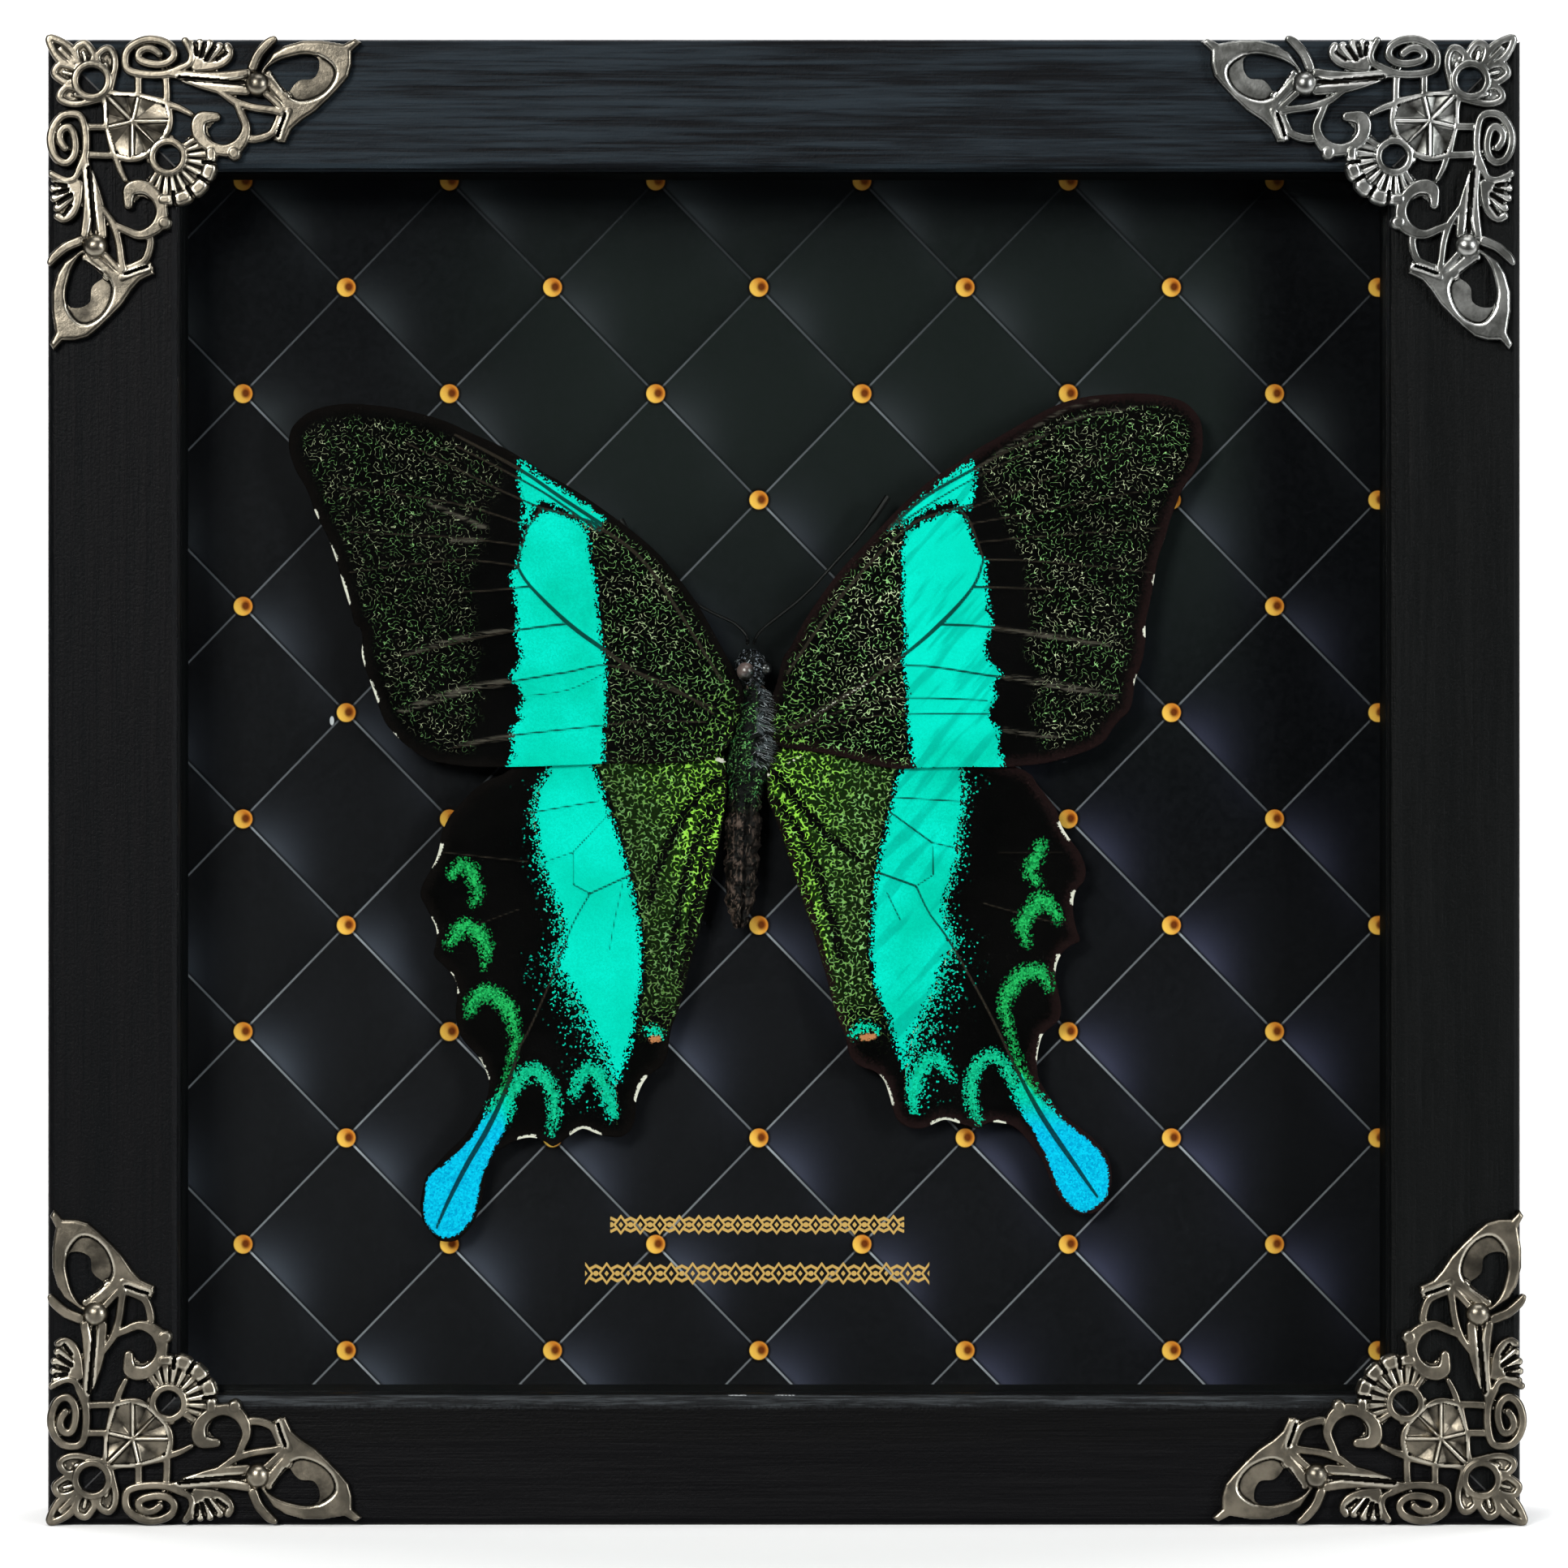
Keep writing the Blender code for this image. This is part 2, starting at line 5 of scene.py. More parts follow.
import bpy
import numpy as np
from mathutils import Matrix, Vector


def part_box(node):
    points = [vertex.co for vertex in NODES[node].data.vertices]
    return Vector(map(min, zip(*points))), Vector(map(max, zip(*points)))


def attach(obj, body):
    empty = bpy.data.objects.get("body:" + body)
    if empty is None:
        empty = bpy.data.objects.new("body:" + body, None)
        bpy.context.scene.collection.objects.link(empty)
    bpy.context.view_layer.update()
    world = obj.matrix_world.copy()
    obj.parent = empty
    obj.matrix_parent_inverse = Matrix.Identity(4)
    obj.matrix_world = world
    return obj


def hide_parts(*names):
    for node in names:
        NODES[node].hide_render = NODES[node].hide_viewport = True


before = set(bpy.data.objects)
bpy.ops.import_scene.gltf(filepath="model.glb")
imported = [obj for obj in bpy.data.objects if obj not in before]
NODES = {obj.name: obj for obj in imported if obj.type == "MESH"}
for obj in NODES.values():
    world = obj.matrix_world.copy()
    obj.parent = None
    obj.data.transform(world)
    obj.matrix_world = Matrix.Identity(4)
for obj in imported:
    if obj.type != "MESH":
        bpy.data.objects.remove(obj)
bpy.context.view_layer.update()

MM = 0.001

# The frame, as in the CAD
FRAME_WIDTH = 180 * MM
FRAME_HEIGHT = 181.6 * MM
FRONT_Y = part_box("rail_top")[0][1]
SHEET_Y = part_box("background_sheet")[0][1]
SHEET_DEPTH = SHEET_Y - FRONT_Y

# The photograph: the frame's outer width in pixels, its middle, and how far away the camera stood
PHOTO_SIZE = 1932
PHOTO_FRAME_WIDTH = 1815
PHOTO_MIDDLE = (966, 963.75)
CAMERA_DISTANCE = 900 * MM
SENSOR = 36.0


def photo_scale(depth=0.0):
    """Metres for one photograph pixel on a plane this far behind the frame's front face."""
    return FRAME_WIDTH / PHOTO_FRAME_WIDTH * (1 + depth / CAMERA_DISTANCE)


def to_place(points, depth):
    """Photograph pixels, rows (x, y), as world (x, z) on a plane this far behind the front face."""
    points = np.asarray(points, float)
    scale = photo_scale(depth)
    x = (points[:, 0] - PHOTO_MIDDLE[0]) * scale
    z = FRAME_HEIGHT / 2 - (points[:, 1] - PHOTO_MIDDLE[1]) * scale
    return np.stack([x, z], axis=1)


# Camera, light and floor

NEAREST_SEEN = 0.01
LAMP_AIM = (0, 0, 0.09)
# Lamps: name, place, what they point at, size, watts and colour
LAMPS = (
    ("key", (-0.47, -1.15, 0.52), LAMP_AIM, (0.42, 0.36), 20.0, (1.0, 0.99, 0.97)),
    ("side_right", (1.05, -0.95, 0.30), LAMP_AIM, (0.4, 0.6), 21.0, (0.96, 0.98, 1.0)),
    ("top", (0.1, -0.55, 1.2), LAMP_AIM, (0.8, 0.35), 6.0, (1, 1, 1)),
    ("backdrop_light", (0, 0.55, 1.2), (0, 1.1, 0.1), (2.0, 0.5), 25.0, (1, 1, 1)),
)
# The light from all round: how strong it is low down, what it gains overhead, and what the camera sees of it
SKY_LOW = 0.03
SKY_GAIN = 0.6
SKY_HEIGHTS = (0.1, 0.9)
SKY_SEEN = 1.15
# The floor, from its front edge to where it bends up, the radius of that bend, and the top of the backdrop
FLOOR_FRONT = -0.2
FLOOR_BACK = 0.9
FLOOR_BEND = 0.4
FLOOR_HALF_WIDTH = 2.5
BACKDROP_TOP = 2.4


def set_camera():
    data = bpy.data.cameras.new("camera")
    data.sensor_width = SENSOR
    data.lens = SENSOR * CAMERA_DISTANCE / (PHOTO_SIZE * photo_scale())
    data.clip_start = NEAREST_SEEN
    camera = bpy.data.objects.new("camera", data)
    z = FRAME_HEIGHT / 2 - (PHOTO_SIZE / 2 - PHOTO_MIDDLE[1]) * photo_scale()
    camera.location = (0, FRONT_Y - CAMERA_DISTANCE, z)
    camera.rotation_euler = (pi / 2, 0, 0)
    bpy.context.scene.collection.objects.link(camera)
    bpy.context.scene.camera = camera


def area_light(name, place, aim, size, power, colour):
    data = bpy.data.lights.new(name, "AREA")
    data.shape = "RECTANGLE"
    data.size, data.size_y = size
    data.energy = power
    data.color = colour
    light = bpy.data.objects.new(name, data)
    light.location = place
    light.rotation_euler = (Vector(aim) - Vector(place)).to_track_quat("-Z", "Y").to_euler()
    bpy.context.scene.collection.objects.link(light)


def set_world():
    world = bpy.data.worlds.new("world")
    bpy.context.scene.world = world
    world.use_nodes = True
    t = Nodes(world.node_tree)
    background = world.node_tree.nodes["Background"]
    path = world.node_tree.nodes.new("ShaderNodeLightPath")
    camera_ray = Value(t, path.outputs["Is Camera Ray"])
    direction = world.node_tree.nodes.new("ShaderNodeTexCoord").outputs["Generated"]
    up = t.xyz(direction)[2]
    sky = SKY_LOW + t.ramp(up, *SKY_HEIGHTS) * SKY_GAIN
    t.link(t.mix(camera_ray, sky, SKY_SEEN), background.inputs["Strength"])


def set_stage():
    """A pale floor that curves up into a backdrop."""
    rows = [(FLOOR_FRONT, 0.0), (FLOOR_BACK, 0.0)]
    for step in range(1, 9):
        turn = step * pi / 16
        rows.append((FLOOR_BACK + FLOOR_BEND * sin(turn), FLOOR_BEND - FLOOR_BEND * cos(turn)))
    rows.append((FLOOR_BACK + FLOOR_BEND, BACKDROP_TOP))
    verts = [(x, y, z) for y, z in rows for x in (-FLOOR_HALF_WIDTH, FLOOR_HALF_WIDTH)]
    faces = [(2 * i, 2 * i + 1, 2 * i + 3, 2 * i + 2) for i in range(len(rows) - 1)]
    floor = mesh_object("floor", verts, faces, simple_material("pale_floor", (0.86, 0.86, 0.86), 0.9))


# Shader helpers

# The colours behind the glass were matched to the photograph under weaker lamps, so this darkens them.
BEHIND_GLASS = (0.64, 0.64, 0.64)


class Value:
    """A number socket that takes part in arithmetic by making Math nodes."""

    def __init__(self, nodes, socket):
        self.nodes, self.socket = nodes, socket

    def __add__(self, other):
        return self.nodes.math("ADD", self, other)

    def __sub__(self, other):
        return self.nodes.math("SUBTRACT", self, other)

    def __rsub__(self, other):
        return self.nodes.math("SUBTRACT", other, self)

    def __mul__(self, other):
        return self.nodes.math("MULTIPLY", self, other)

    def __truediv__(self, other):
        return self.nodes.math("DIVIDE", self, other)

    def __abs__(self):
        return self.nodes.math("ABSOLUTE", self)

    def __lt__(self, other):
        return self.nodes.math("LESS_THAN", self, other)

    __radd__ = __add__
    __rmul__ = __mul__


class Nodes:
    """Short calls that make and link shader nodes in one tree."""

    def __init__(self, tree):
        self.tree = tree

    def new(self, kind, **settings):
        node = self.tree.nodes.new(kind)
        for key, value in settings.items():
            setattr(node, key, value)
        return node

    def link(self, source, target):
        if isinstance(source, Value):
            source = source.socket
        if isinstance(source, bpy.types.NodeSocket):
            self.tree.links.new(source, target)
        elif target.type == "RGBA":
            target.default_value = (*source, 1) if len(source) == 3 else source
        else:
            target.default_value = source

    def math(self, operation, *values):
        node = self.new("ShaderNodeMath", operation=operation)
        for socket, value in zip(node.inputs, values):
            self.link(value, socket)
        return Value(self, node.outputs[0])

    def attribute(self, name):
        return Value(self, self.new("ShaderNodeAttribute", attribute_name=name).outputs["Fac"])

    def position(self):
        return self.new("ShaderNodeNewGeometry").outputs["Position"]

    def xyz(self, vector):
        node = self.new("ShaderNodeSeparateXYZ")
        self.link(vector, node.inputs[0])
        return [Value(self, out) for out in node.outputs]

    def vector(self, x, y, z=0.0):
        node = self.new("ShaderNodeCombineXYZ")
        for socket, value in zip(node.inputs, (x, y, z)):
            self.link(value, socket)
        return node.outputs[0]

    def scaled(self, vector, factors):
        node = self.new("ShaderNodeVectorMath", operation="MULTIPLY")
        self.link(vector, node.inputs[0])
        node.inputs[1].default_value = factors
        return node.outputs[0]

    def shifted(self, vector, seed):
        if not seed:
            return vector
        node = self.new("ShaderNodeVectorMath", operation="ADD")
        self.link(vector, node.inputs[0])
        node.inputs[1].default_value = (0.37 * seed, 0.71 * seed, 0.53 * seed)
        return node.outputs[0]

    def noise(self, vector, scale, detail=2.0, roughness=0.5, seed=0.0):
        node = self.new("ShaderNodeTexNoise")
        self.link(self.shifted(vector, seed), node.inputs["Vector"])
        node.inputs["Scale"].default_value = scale
        node.inputs["Detail"].default_value = detail
        node.inputs["Roughness"].default_value = roughness
        return Value(self, node.outputs["Fac"])

    def cells(self, vector, scale):
        """Three random numbers for each cell of a Voronoi texture."""
        node = self.new("ShaderNodeTexVoronoi")
        self.link(vector, node.inputs["Vector"])
        node.inputs["Scale"].default_value = scale
        return self.xyz(node.outputs["Color"])

    def ramp(self, value, low, high):
        """0 at low and 1 at high, with a smooth step between; low may be the greater."""
        node = self.new("ShaderNodeMapRange", interpolation_type="SMOOTHSTEP")
        self.link(value, node.inputs["Value"])
        self.link(low, node.inputs["From Min"])
        self.link(high, node.inputs["From Max"])
        return Value(self, node.outputs["Result"])

    def mix(self, share, low, high):
        """Blends two numbers."""
        return low + (high - low) * share if isinstance(high, Value) else share * (high - low) + low

    def blend(self, share, first, second):
        """Blends two colours."""
        node = self.new("ShaderNodeMix", data_type="RGBA")
        self.link(share, node.inputs[0])
        self.link(first, node.inputs[6])
        self.link(second, node.inputs[7])
        return node.outputs[2]

    def bump(self, height, distance, strength=1.0):
        node = self.new("ShaderNodeBump")
        self.link(height, node.inputs["Height"])
        node.inputs["Distance"].default_value = distance
        node.inputs["Strength"].default_value = strength
        return node.outputs["Normal"]


def linear(red, green, blue):
    """An sRGB colour of 0 to 255 as linear numbers of 0 to 1."""
    shares = (red / 255, green / 255, blue / 255)
    return tuple(c / 12.92 if c <= 0.04045 else ((c + 0.055) / 1.055) ** 2.4 for c in shares)


def simple_material(name, colour, roughness, metallic=0.0, specular=0.5):
    made = bpy.data.materials.new(name)
    made.use_nodes = True
    shader = shader_of(made)
    shader.inputs["Base Color"].default_value = (*colour, 1)
    shader.inputs["Roughness"].default_value = roughness
    shader.inputs["Metallic"].default_value = metallic
    shader.inputs["Specular IOR Level"].default_value = specular
    return made


def shader_of(made):
    return made.node_tree.nodes["Principled BSDF"]


def node_material(*settings, **more):
    """A simple material that nodes can be added to: the material, its nodes and its shader."""
    made = simple_material(*settings, **more)
    return made, Nodes(made.node_tree), shader_of(made)


def mesh_object(name, verts, faces, finish):
    mesh = bpy.data.meshes.new(name)
    mesh.from_pydata([tuple(v) for v in verts], [], [tuple(f) for f in faces])
    mesh.validate()
    mesh.materials.append(finish)
    made = bpy.data.objects.new(name, mesh)
    bpy.context.scene.collection.objects.link(made)
    return made


def set_material(node, finish):
    obj = NODES[node]
    obj.data.materials.clear()
    obj.data.materials.append(finish)


def add_attribute(obj, name, values):
    layer = obj.data.attributes.new(name, "FLOAT", "POINT")
    layer.data.foreach_set("value", np.asarray(values, np.float32))


# Distances in the plane, on arrays of points


def catmull(points, closed, steps):
    """A smooth curve through the rows of points."""
    points = np.asarray(points, float)
    count = len(points)
    rows = []
    for i in range(count if closed else count - 1):
        if closed:
            a, b, c, d = (points[(i + k) % count] for k in (-1, 0, 1, 2))
        else:
            a, b, c, d = (points[min(max(i + k, 0), count - 1)] for k in (-1, 0, 1, 2))
        square, cube = 2 * a - 5 * b + 4 * c - d, 3 * b - a - 3 * c + d
        for s in range(steps):
            t = s / steps
            rows.append(0.5 * (2 * b + (c - a) * t + square * t**2 + cube * t**3))
    if not closed:
        rows.append(points[-1])
    return np.array(rows)


def smoothed(route, radii, steps):
    """The route as a smooth curve, with the radius at each of its points."""
    route = np.array(route, float)
    radii = np.broadcast_to(radii, len(route)).astype(float)
    if len(route) > 2:
        spread = np.linspace(0, len(route) - 1, steps * (len(route) - 1) + 1)
        radii = np.interp(spread, range(len(route)), radii)
        route = catmull(route, False, steps)
    return route, radii


def near_stroke(grid, points, radii):
    """max over the stroke of (radius - distance), and the share along it where that is."""
    best = np.full(len(grid), -1e9)
    along = np.zeros(len(grid))
    radii = np.broadcast_to(radii, len(points)).astype(float)
    for i in range(len(points) - 1):
        a, b = points[i], points[i + 1]
        ab = b - a
        t = np.clip(((grid - a) @ ab) / max(ab @ ab, 1e-12), 0, 1)
        gap = np.hypot(*(grid - (a + t[:, None] * ab)).T)
        value = radii[i] + (radii[i + 1] - radii[i]) * t - gap
        better = value > best
        best[better] = value[better]
        along[better] = (i + t[better]) / (len(points) - 1)
    return best, along


def inside(grid, loop):
    """Which points lie inside a closed loop."""
    found = np.zeros(len(grid), bool)
    x, y = grid.T
    for (ax, ay), (bx, by) in zip(loop, np.roll(loop, -1, axis=0)):
        if ay == by:
            continue
        crosses = (ay > y) != (by > y)
        found ^= crosses & (x < (bx - ax) * (y - ay) / (by - ay) + ax)
    return found


def signed_distance(grid, loop):
    """Distance to a closed loop, positive inside it, and the nearest point on it."""
    best = np.full(len(grid), 1e9)
    nearest = np.zeros_like(grid)
    for a, b in zip(loop, np.roll(loop, -1, axis=0)):
        ab = b - a
        t = np.clip(((grid - a) @ ab) / max(ab @ ab, 1e-12), 0, 1)
        foot = a + t[:, None] * ab
        gap = np.hypot(*(grid - foot).T)
        better = gap < best
        best[better] = gap[better]
        nearest[better] = foot[better]
    return np.where(inside(grid, loop), best, -best), nearest


# Filigree corners, in photograph pixels for the upper half of the top left one, with heights in millimetres.
# The lower half is the same, mirrored in the diagonal.

CORNER_PIXEL = (62, 48)
CORNER_STEP = 1.05
CORNER_SPAN = 392
CORNER_DIAGONAL = 470
CORNER_MARGIN = 8
CORNER_BACK = 0.05 * MM
LOWER_CORNER_FOOT = 0.55 * MM
# Added to every stroke's radius; how wide an edge is rounded at least; what share of that low strokes round
CORNER_SWELL = 1.3
CORNER_ROUNDING = 5.0
CORNER_BOXINESS = 0.62
# Surfaces are worked out this far past a stroke's edge, so that its walls start at full height.
EDGE_REACH = 2.0
GROOVE_REACH = 1.2
FLOOR_SWELL = 1
FLOOR_ROUNDING = 3.0
LEAF_ROUNDING = 5
CAVITY_REACH = 4
SHARP_ANGLE = 50 * pi / 180
# How far each corner sits from its nominal place, in photograph pixels to the right and down
CORNER_SHIFTS = {
    "top_left": (3.5, 0.0),
    "top_right": (-10.5, -0.5),
    "bottom_left": (4.0, 0.0),
    "bottom_right": (3.0, 0.0),
}
# Base height and rise of the rounded top, for each kind of part
BAR = (0.85, 0.42)
SCROLL = (0.95, 0.45)
FLOOR = (0.66, 0.12)
SPOKE = (0.7, 0.5)
PLATE = (1.05, 0.35)
TONGUE_HEIGHT = 0.62
HUB = (164, 150)
RING = (208, 194)
# Rings: the middle, the radius of their line and half its width
CORNER_RINGS = (((114, 100), 20.5, 5.2), (RING, 19.5, 5.0))

# Strokes: (route, radius or radii, base height, rise of the rounded top)
CORNER_STROKES = [
    ([(95, 84), (76, 76), (66, 62), (62, 48), (78, 53), (90, 64), (99, 80)], 3.6, *BAR),
    ([(98, 80), (94, 66), (96, 58), (105, 54), (112, 60), (117, 70), (112, 80)], 3.4, *BAR),
    ([(124, 82), (121, 70), (128, 62), (136, 61), (142, 70), (143, 84), (139, 97)], 3.4, *BAR),
    ([(131, 80), (135, 92)], 1.6, *BAR),
    ([(74, 62), (92, 80)], 1.4, *BAR),
    ([(104, 66), (107, 78)], 1.2, *BAR),
    ([(171, 91), (171, 120), (168, 149)], 3.8, *BAR),
    ([(205, 95), (206, 112), (206, 127)], 3.8, *BAR),
    ([(136, 115), (152, 118), (170, 118)], 3.8, *BAR),
    ([(170, 119), (188, 123), (206, 127)], 3.8, *BAR),
    ([(141, 92), (138, 104), (135, 116)], 3.8, *BAR),
    ([HUB, (134, 119)], [2.4, 4.0], *SPOKE),
    ([HUB, (171, 120)], [2.4, 4.0], *SPOKE),
    ([HUB, (203, 131)], [2.4, 4.0], *SPOKE),
    ([HUB, (207, 150)], [2.4, 4.0], *SPOKE),
    ([HUB, (188, 176)], [2.4, 4.0], *SPOKE),
    ([(206, 127), (210, 143), (209, 158), (201, 169), (189, 176)], 3.5, *BAR),
    ([(207, 129), (222, 134), (236, 141)], [4, 3.4, 2.4], *BAR),
    (
        [
            (197, 67), (190, 62), (181, 60.5), (173, 65), (172, 73), (181, 78), (196, 80), (208, 77),
            (215, 69), (212, 59), (201, 52), (185, 49.5), (170, 53.5), (158, 63), (155, 75), (158, 86),
            (170, 91), (188, 93), (204, 92), (216, 88), (225, 84),
        ],
        4.2,
        *SCROLL,
    ),
    ([(225, 84), (234, 79), (237, 69), (233, 58), (229, 51)], 3.5, *SCROLL),
    ([(240, 80), (236, 54)], [3.6, 3.0], *BAR),
    ([(243, 79), (247, 53)], [3.6, 3.6], *BAR),
    ([(247, 79), (259, 54)], [3.6, 3.8], *BAR),
    ([(252, 80), (271, 58)], [3.6, 4.0], *BAR),
    ([(242, 84), (262, 82), (277, 76), (284, 66), (281, 58)], [5, 5, 5, 4.5, 3.5], *BAR),
    ([(210, 91), (232, 94), (259, 96), (285, 94), (304, 91)], [4.6, 5.2, 5.6, 5.2, 4.6], *SCROLL),
    ([(228, 99), (250, 105), (268, 109), (285, 111), (304, 113)], [3, 5, 6, 5.6, 5], *SCROLL),
    ([(312, 84), (319, 68), (331, 54), (338, 49)], [5.4, 5.2, 4.8, 3], *SCROLL),
    ([(332, 92), (341, 106), (354, 120)], 3.4, 1.05, 0.3),
    ([(324, 112), (335, 122), (350, 136)], 3.6, *SCROLL),
    ([(331, 104), (343, 120), (352, 132)], 3.0, 0.8, 0.3),
    (
        [(268, 112), (279, 119), (292, 127), (312, 133), (333, 136), (346, 138)],
        [2, 3.4, 4.4, 4, 4, 4.6],
        *SCROLL,
    ),
    (
        [
            (292, 127), (298, 141), (304, 157), (300, 172), (290, 183), (274, 186), (258, 180), (247, 168),
            (245, 155), (249, 147), (258, 145), (267, 145),
        ],
        [4, 4.4, 5, 6.5, 8, 6.5, 6.5, 7.5, 8.5, 8, 6, 5],
        *SCROLL,
    ),
    ([(289, 189), (289.5, 190)], 8.0, 0.8, 0.7),
    ([(304, 170), (312, 172), (324, 170), (335, 165), (341, 155), (346, 142)], 4.2, *BAR),
    ([(357, 138), (350, 155), (345, 171)], 4.2, 1.1, 0.35),
    ([(212, 171), (218, 180), (226, 181), (238, 174), (243, 172)], 3.0, *BAR),
    ([(318, 104), (318, 105)], 13.5, 1.0, 1.3),
]
# Thin floors between the strokes
CORNER_FLOORS = [
    [(66, 50), (92, 64), (104, 84), (96, 92), (76, 78), (64, 64)],
    [(97, 62), (106, 56), (114, 64), (114, 80), (102, 82)],
    [(124, 66), (138, 64), (142, 78), (139, 96), (128, 86)],
    [(134, 119), (171, 121), (203, 131), (207, 148), (201, 166), (188, 176), (164, 150), (150, 136)],
    [(238, 56), (272, 58), (284, 68), (262, 80), (240, 80)],
    [(232, 94), (259, 99), (285, 99), (303, 94), (303, 112), (285, 109), (262, 104)],
    [(246, 150), (262, 144), (268, 146), (256, 160), (262, 176), (250, 172)],
]
# The faceted wheel in the middle, upper half: its outline and the ends of its ridges.
WHEEL = [(134, 119), (171, 121), (203, 131), (207, 148), (201, 166), (192, 176), (188, 178), (164, 150)]
WHEEL_SPOKES = [(134, 119), (171, 120), (207, 150), (188, 176), (134, 157), (164, 193)]
# Heights of the wheel: its facets, the valleys between its ridges, how far out those are full, and its ridges
FACET_HEIGHT = 0.95
VALLEY_DEPTH = 0.5
VALLEY_START = 20
RIDGE_RISE = 0.3
RIDGE_WIDTH = 2.2

# The pointed leaf beyond the ball: its outline, the hole in it and the lower tongue in that hole.
LEAF = [
    (322, 88), (337, 66), (352, 57), (374, 51), (399, 51), (424, 55), (438, 48), (446, 53), (434, 64),
    (434, 80), (430, 95), (420, 107), (405, 123), (389, 138), (371, 150), (360, 160), (352, 177), (337, 174),
    (343, 158), (350, 142), (346, 128), (332, 112), (322, 100),
]
LEAF_HOLE = [
    (327, 89), (342, 77), (360, 71), (377, 68), (391, 71), (394, 79), (392, 90), (385, 98), (371, 99),
    (363, 105), (356, 114), (347, 109), (338, 98),
]
LEAF_TONGUE = [
    (389, 70), (404, 76), (413, 87), (411, 100), (401, 113), (386, 122), (370, 125), (358, 120), (352, 112),
    (362, 102), (370, 96), (384, 96), (390, 88),
]
# The shell round the second ring: its bed, its ribs, the lobes of its rim (angle, radius) and its notches
SHELL_BED = 37
SHELL_BED_RADIUS = 13.0
SHELL_BED_ANGLES = range(-22, 113, 12)
BED = (0.62, 0.15)
SHELL_RIBS = (25, 48)
SHELL_RIB_RADII = [1.6, 3.6]
SHELL_ANGLES = (-20, -5, 10, 27, 45, 63, 80, 95, 110)
SHELL_RIM = 53
LOBE = (0.6, 0.9)
LOBE_HALF_ANGLE = 4
SHELL_LOBES = ((-3, 6.5), (20, 9.0), (45, 9.0), (70, 9.0), (93, 6.5))
NOTCHES = (44, 66)
NOTCH_RADIUS = 1.2
NOTCH_ANGLES = (8, 32.5, 57.5, 82)
# Grooves cut down to this height: (route, radius)
GROOVE_FLOOR = 0.5
CORNER_GROOVES = [
    ([(222, 97), (250, 99.5), (285, 102.5), (300, 102)], 1.7),
    ([(352, 142), (346, 158), (343, 168)], 0.7),
    ([(242, 55), (243.5, 68)], 1.6),
    ([(253, 55), (249, 70)], 1.9),
    ([(265, 59), (255, 74)], 2.0),
    ([(268, 74), (279, 66)], 1.4),
    ([(338, 92), (352, 112)], 1.2),
]


def around(centre, radius, angle):
    turn = angle * pi / 180
    return (centre[0] + radius * cos(turn), centre[1] + radius * sin(turn))


def rounded(share):
    """The rise of a quarter round at a share of the way in from its edge."""
    return np.sqrt(np.clip(1 - (1 - share) ** 2, 0, 1))


def wheel_facets(grid, corner):
    """For the upper half of the wheel: which points are its own, its inside value and its height."""
    spokes = sorted(atan2(y - HUB[1], x - HUB[0]) for x, y in WHEEL_SPOKES)
    spokes = np.array([spokes[-1] - 2 * pi, *spokes, spokes[0] + 2 * pi])
    gap, _ = signed_distance(grid, np.array(WHEEL, float) - corner)
    away = grid - (np.array(HUB) - corner)
    turn = np.arctan2(away[:, 1], away[:, 0])
    after = np.clip(np.searchsorted(spokes, turn), 1, len(spokes) - 1)
    share = (turn - spokes[after - 1]) / (spokes[after] - spokes[after - 1])
    reach = np.hypot(*away.T)
    valley = (1 - abs(2 * share - 1)) * np.clip(reach / VALLEY_START, 0, 1)
    arc = np.minimum(turn - spokes[after - 1], spokes[after] - turn) * reach
    ridge = np.clip(1.6 - arc / RIDGE_WIDTH, 0, 1)
    mine = (gap > -1) & (grid[:, 1] <= grid[:, 0] + 1)
    return mine, gap, FACET_HEIGHT - VALLEY_DEPTH * valley + RIDGE_RISE * ridge


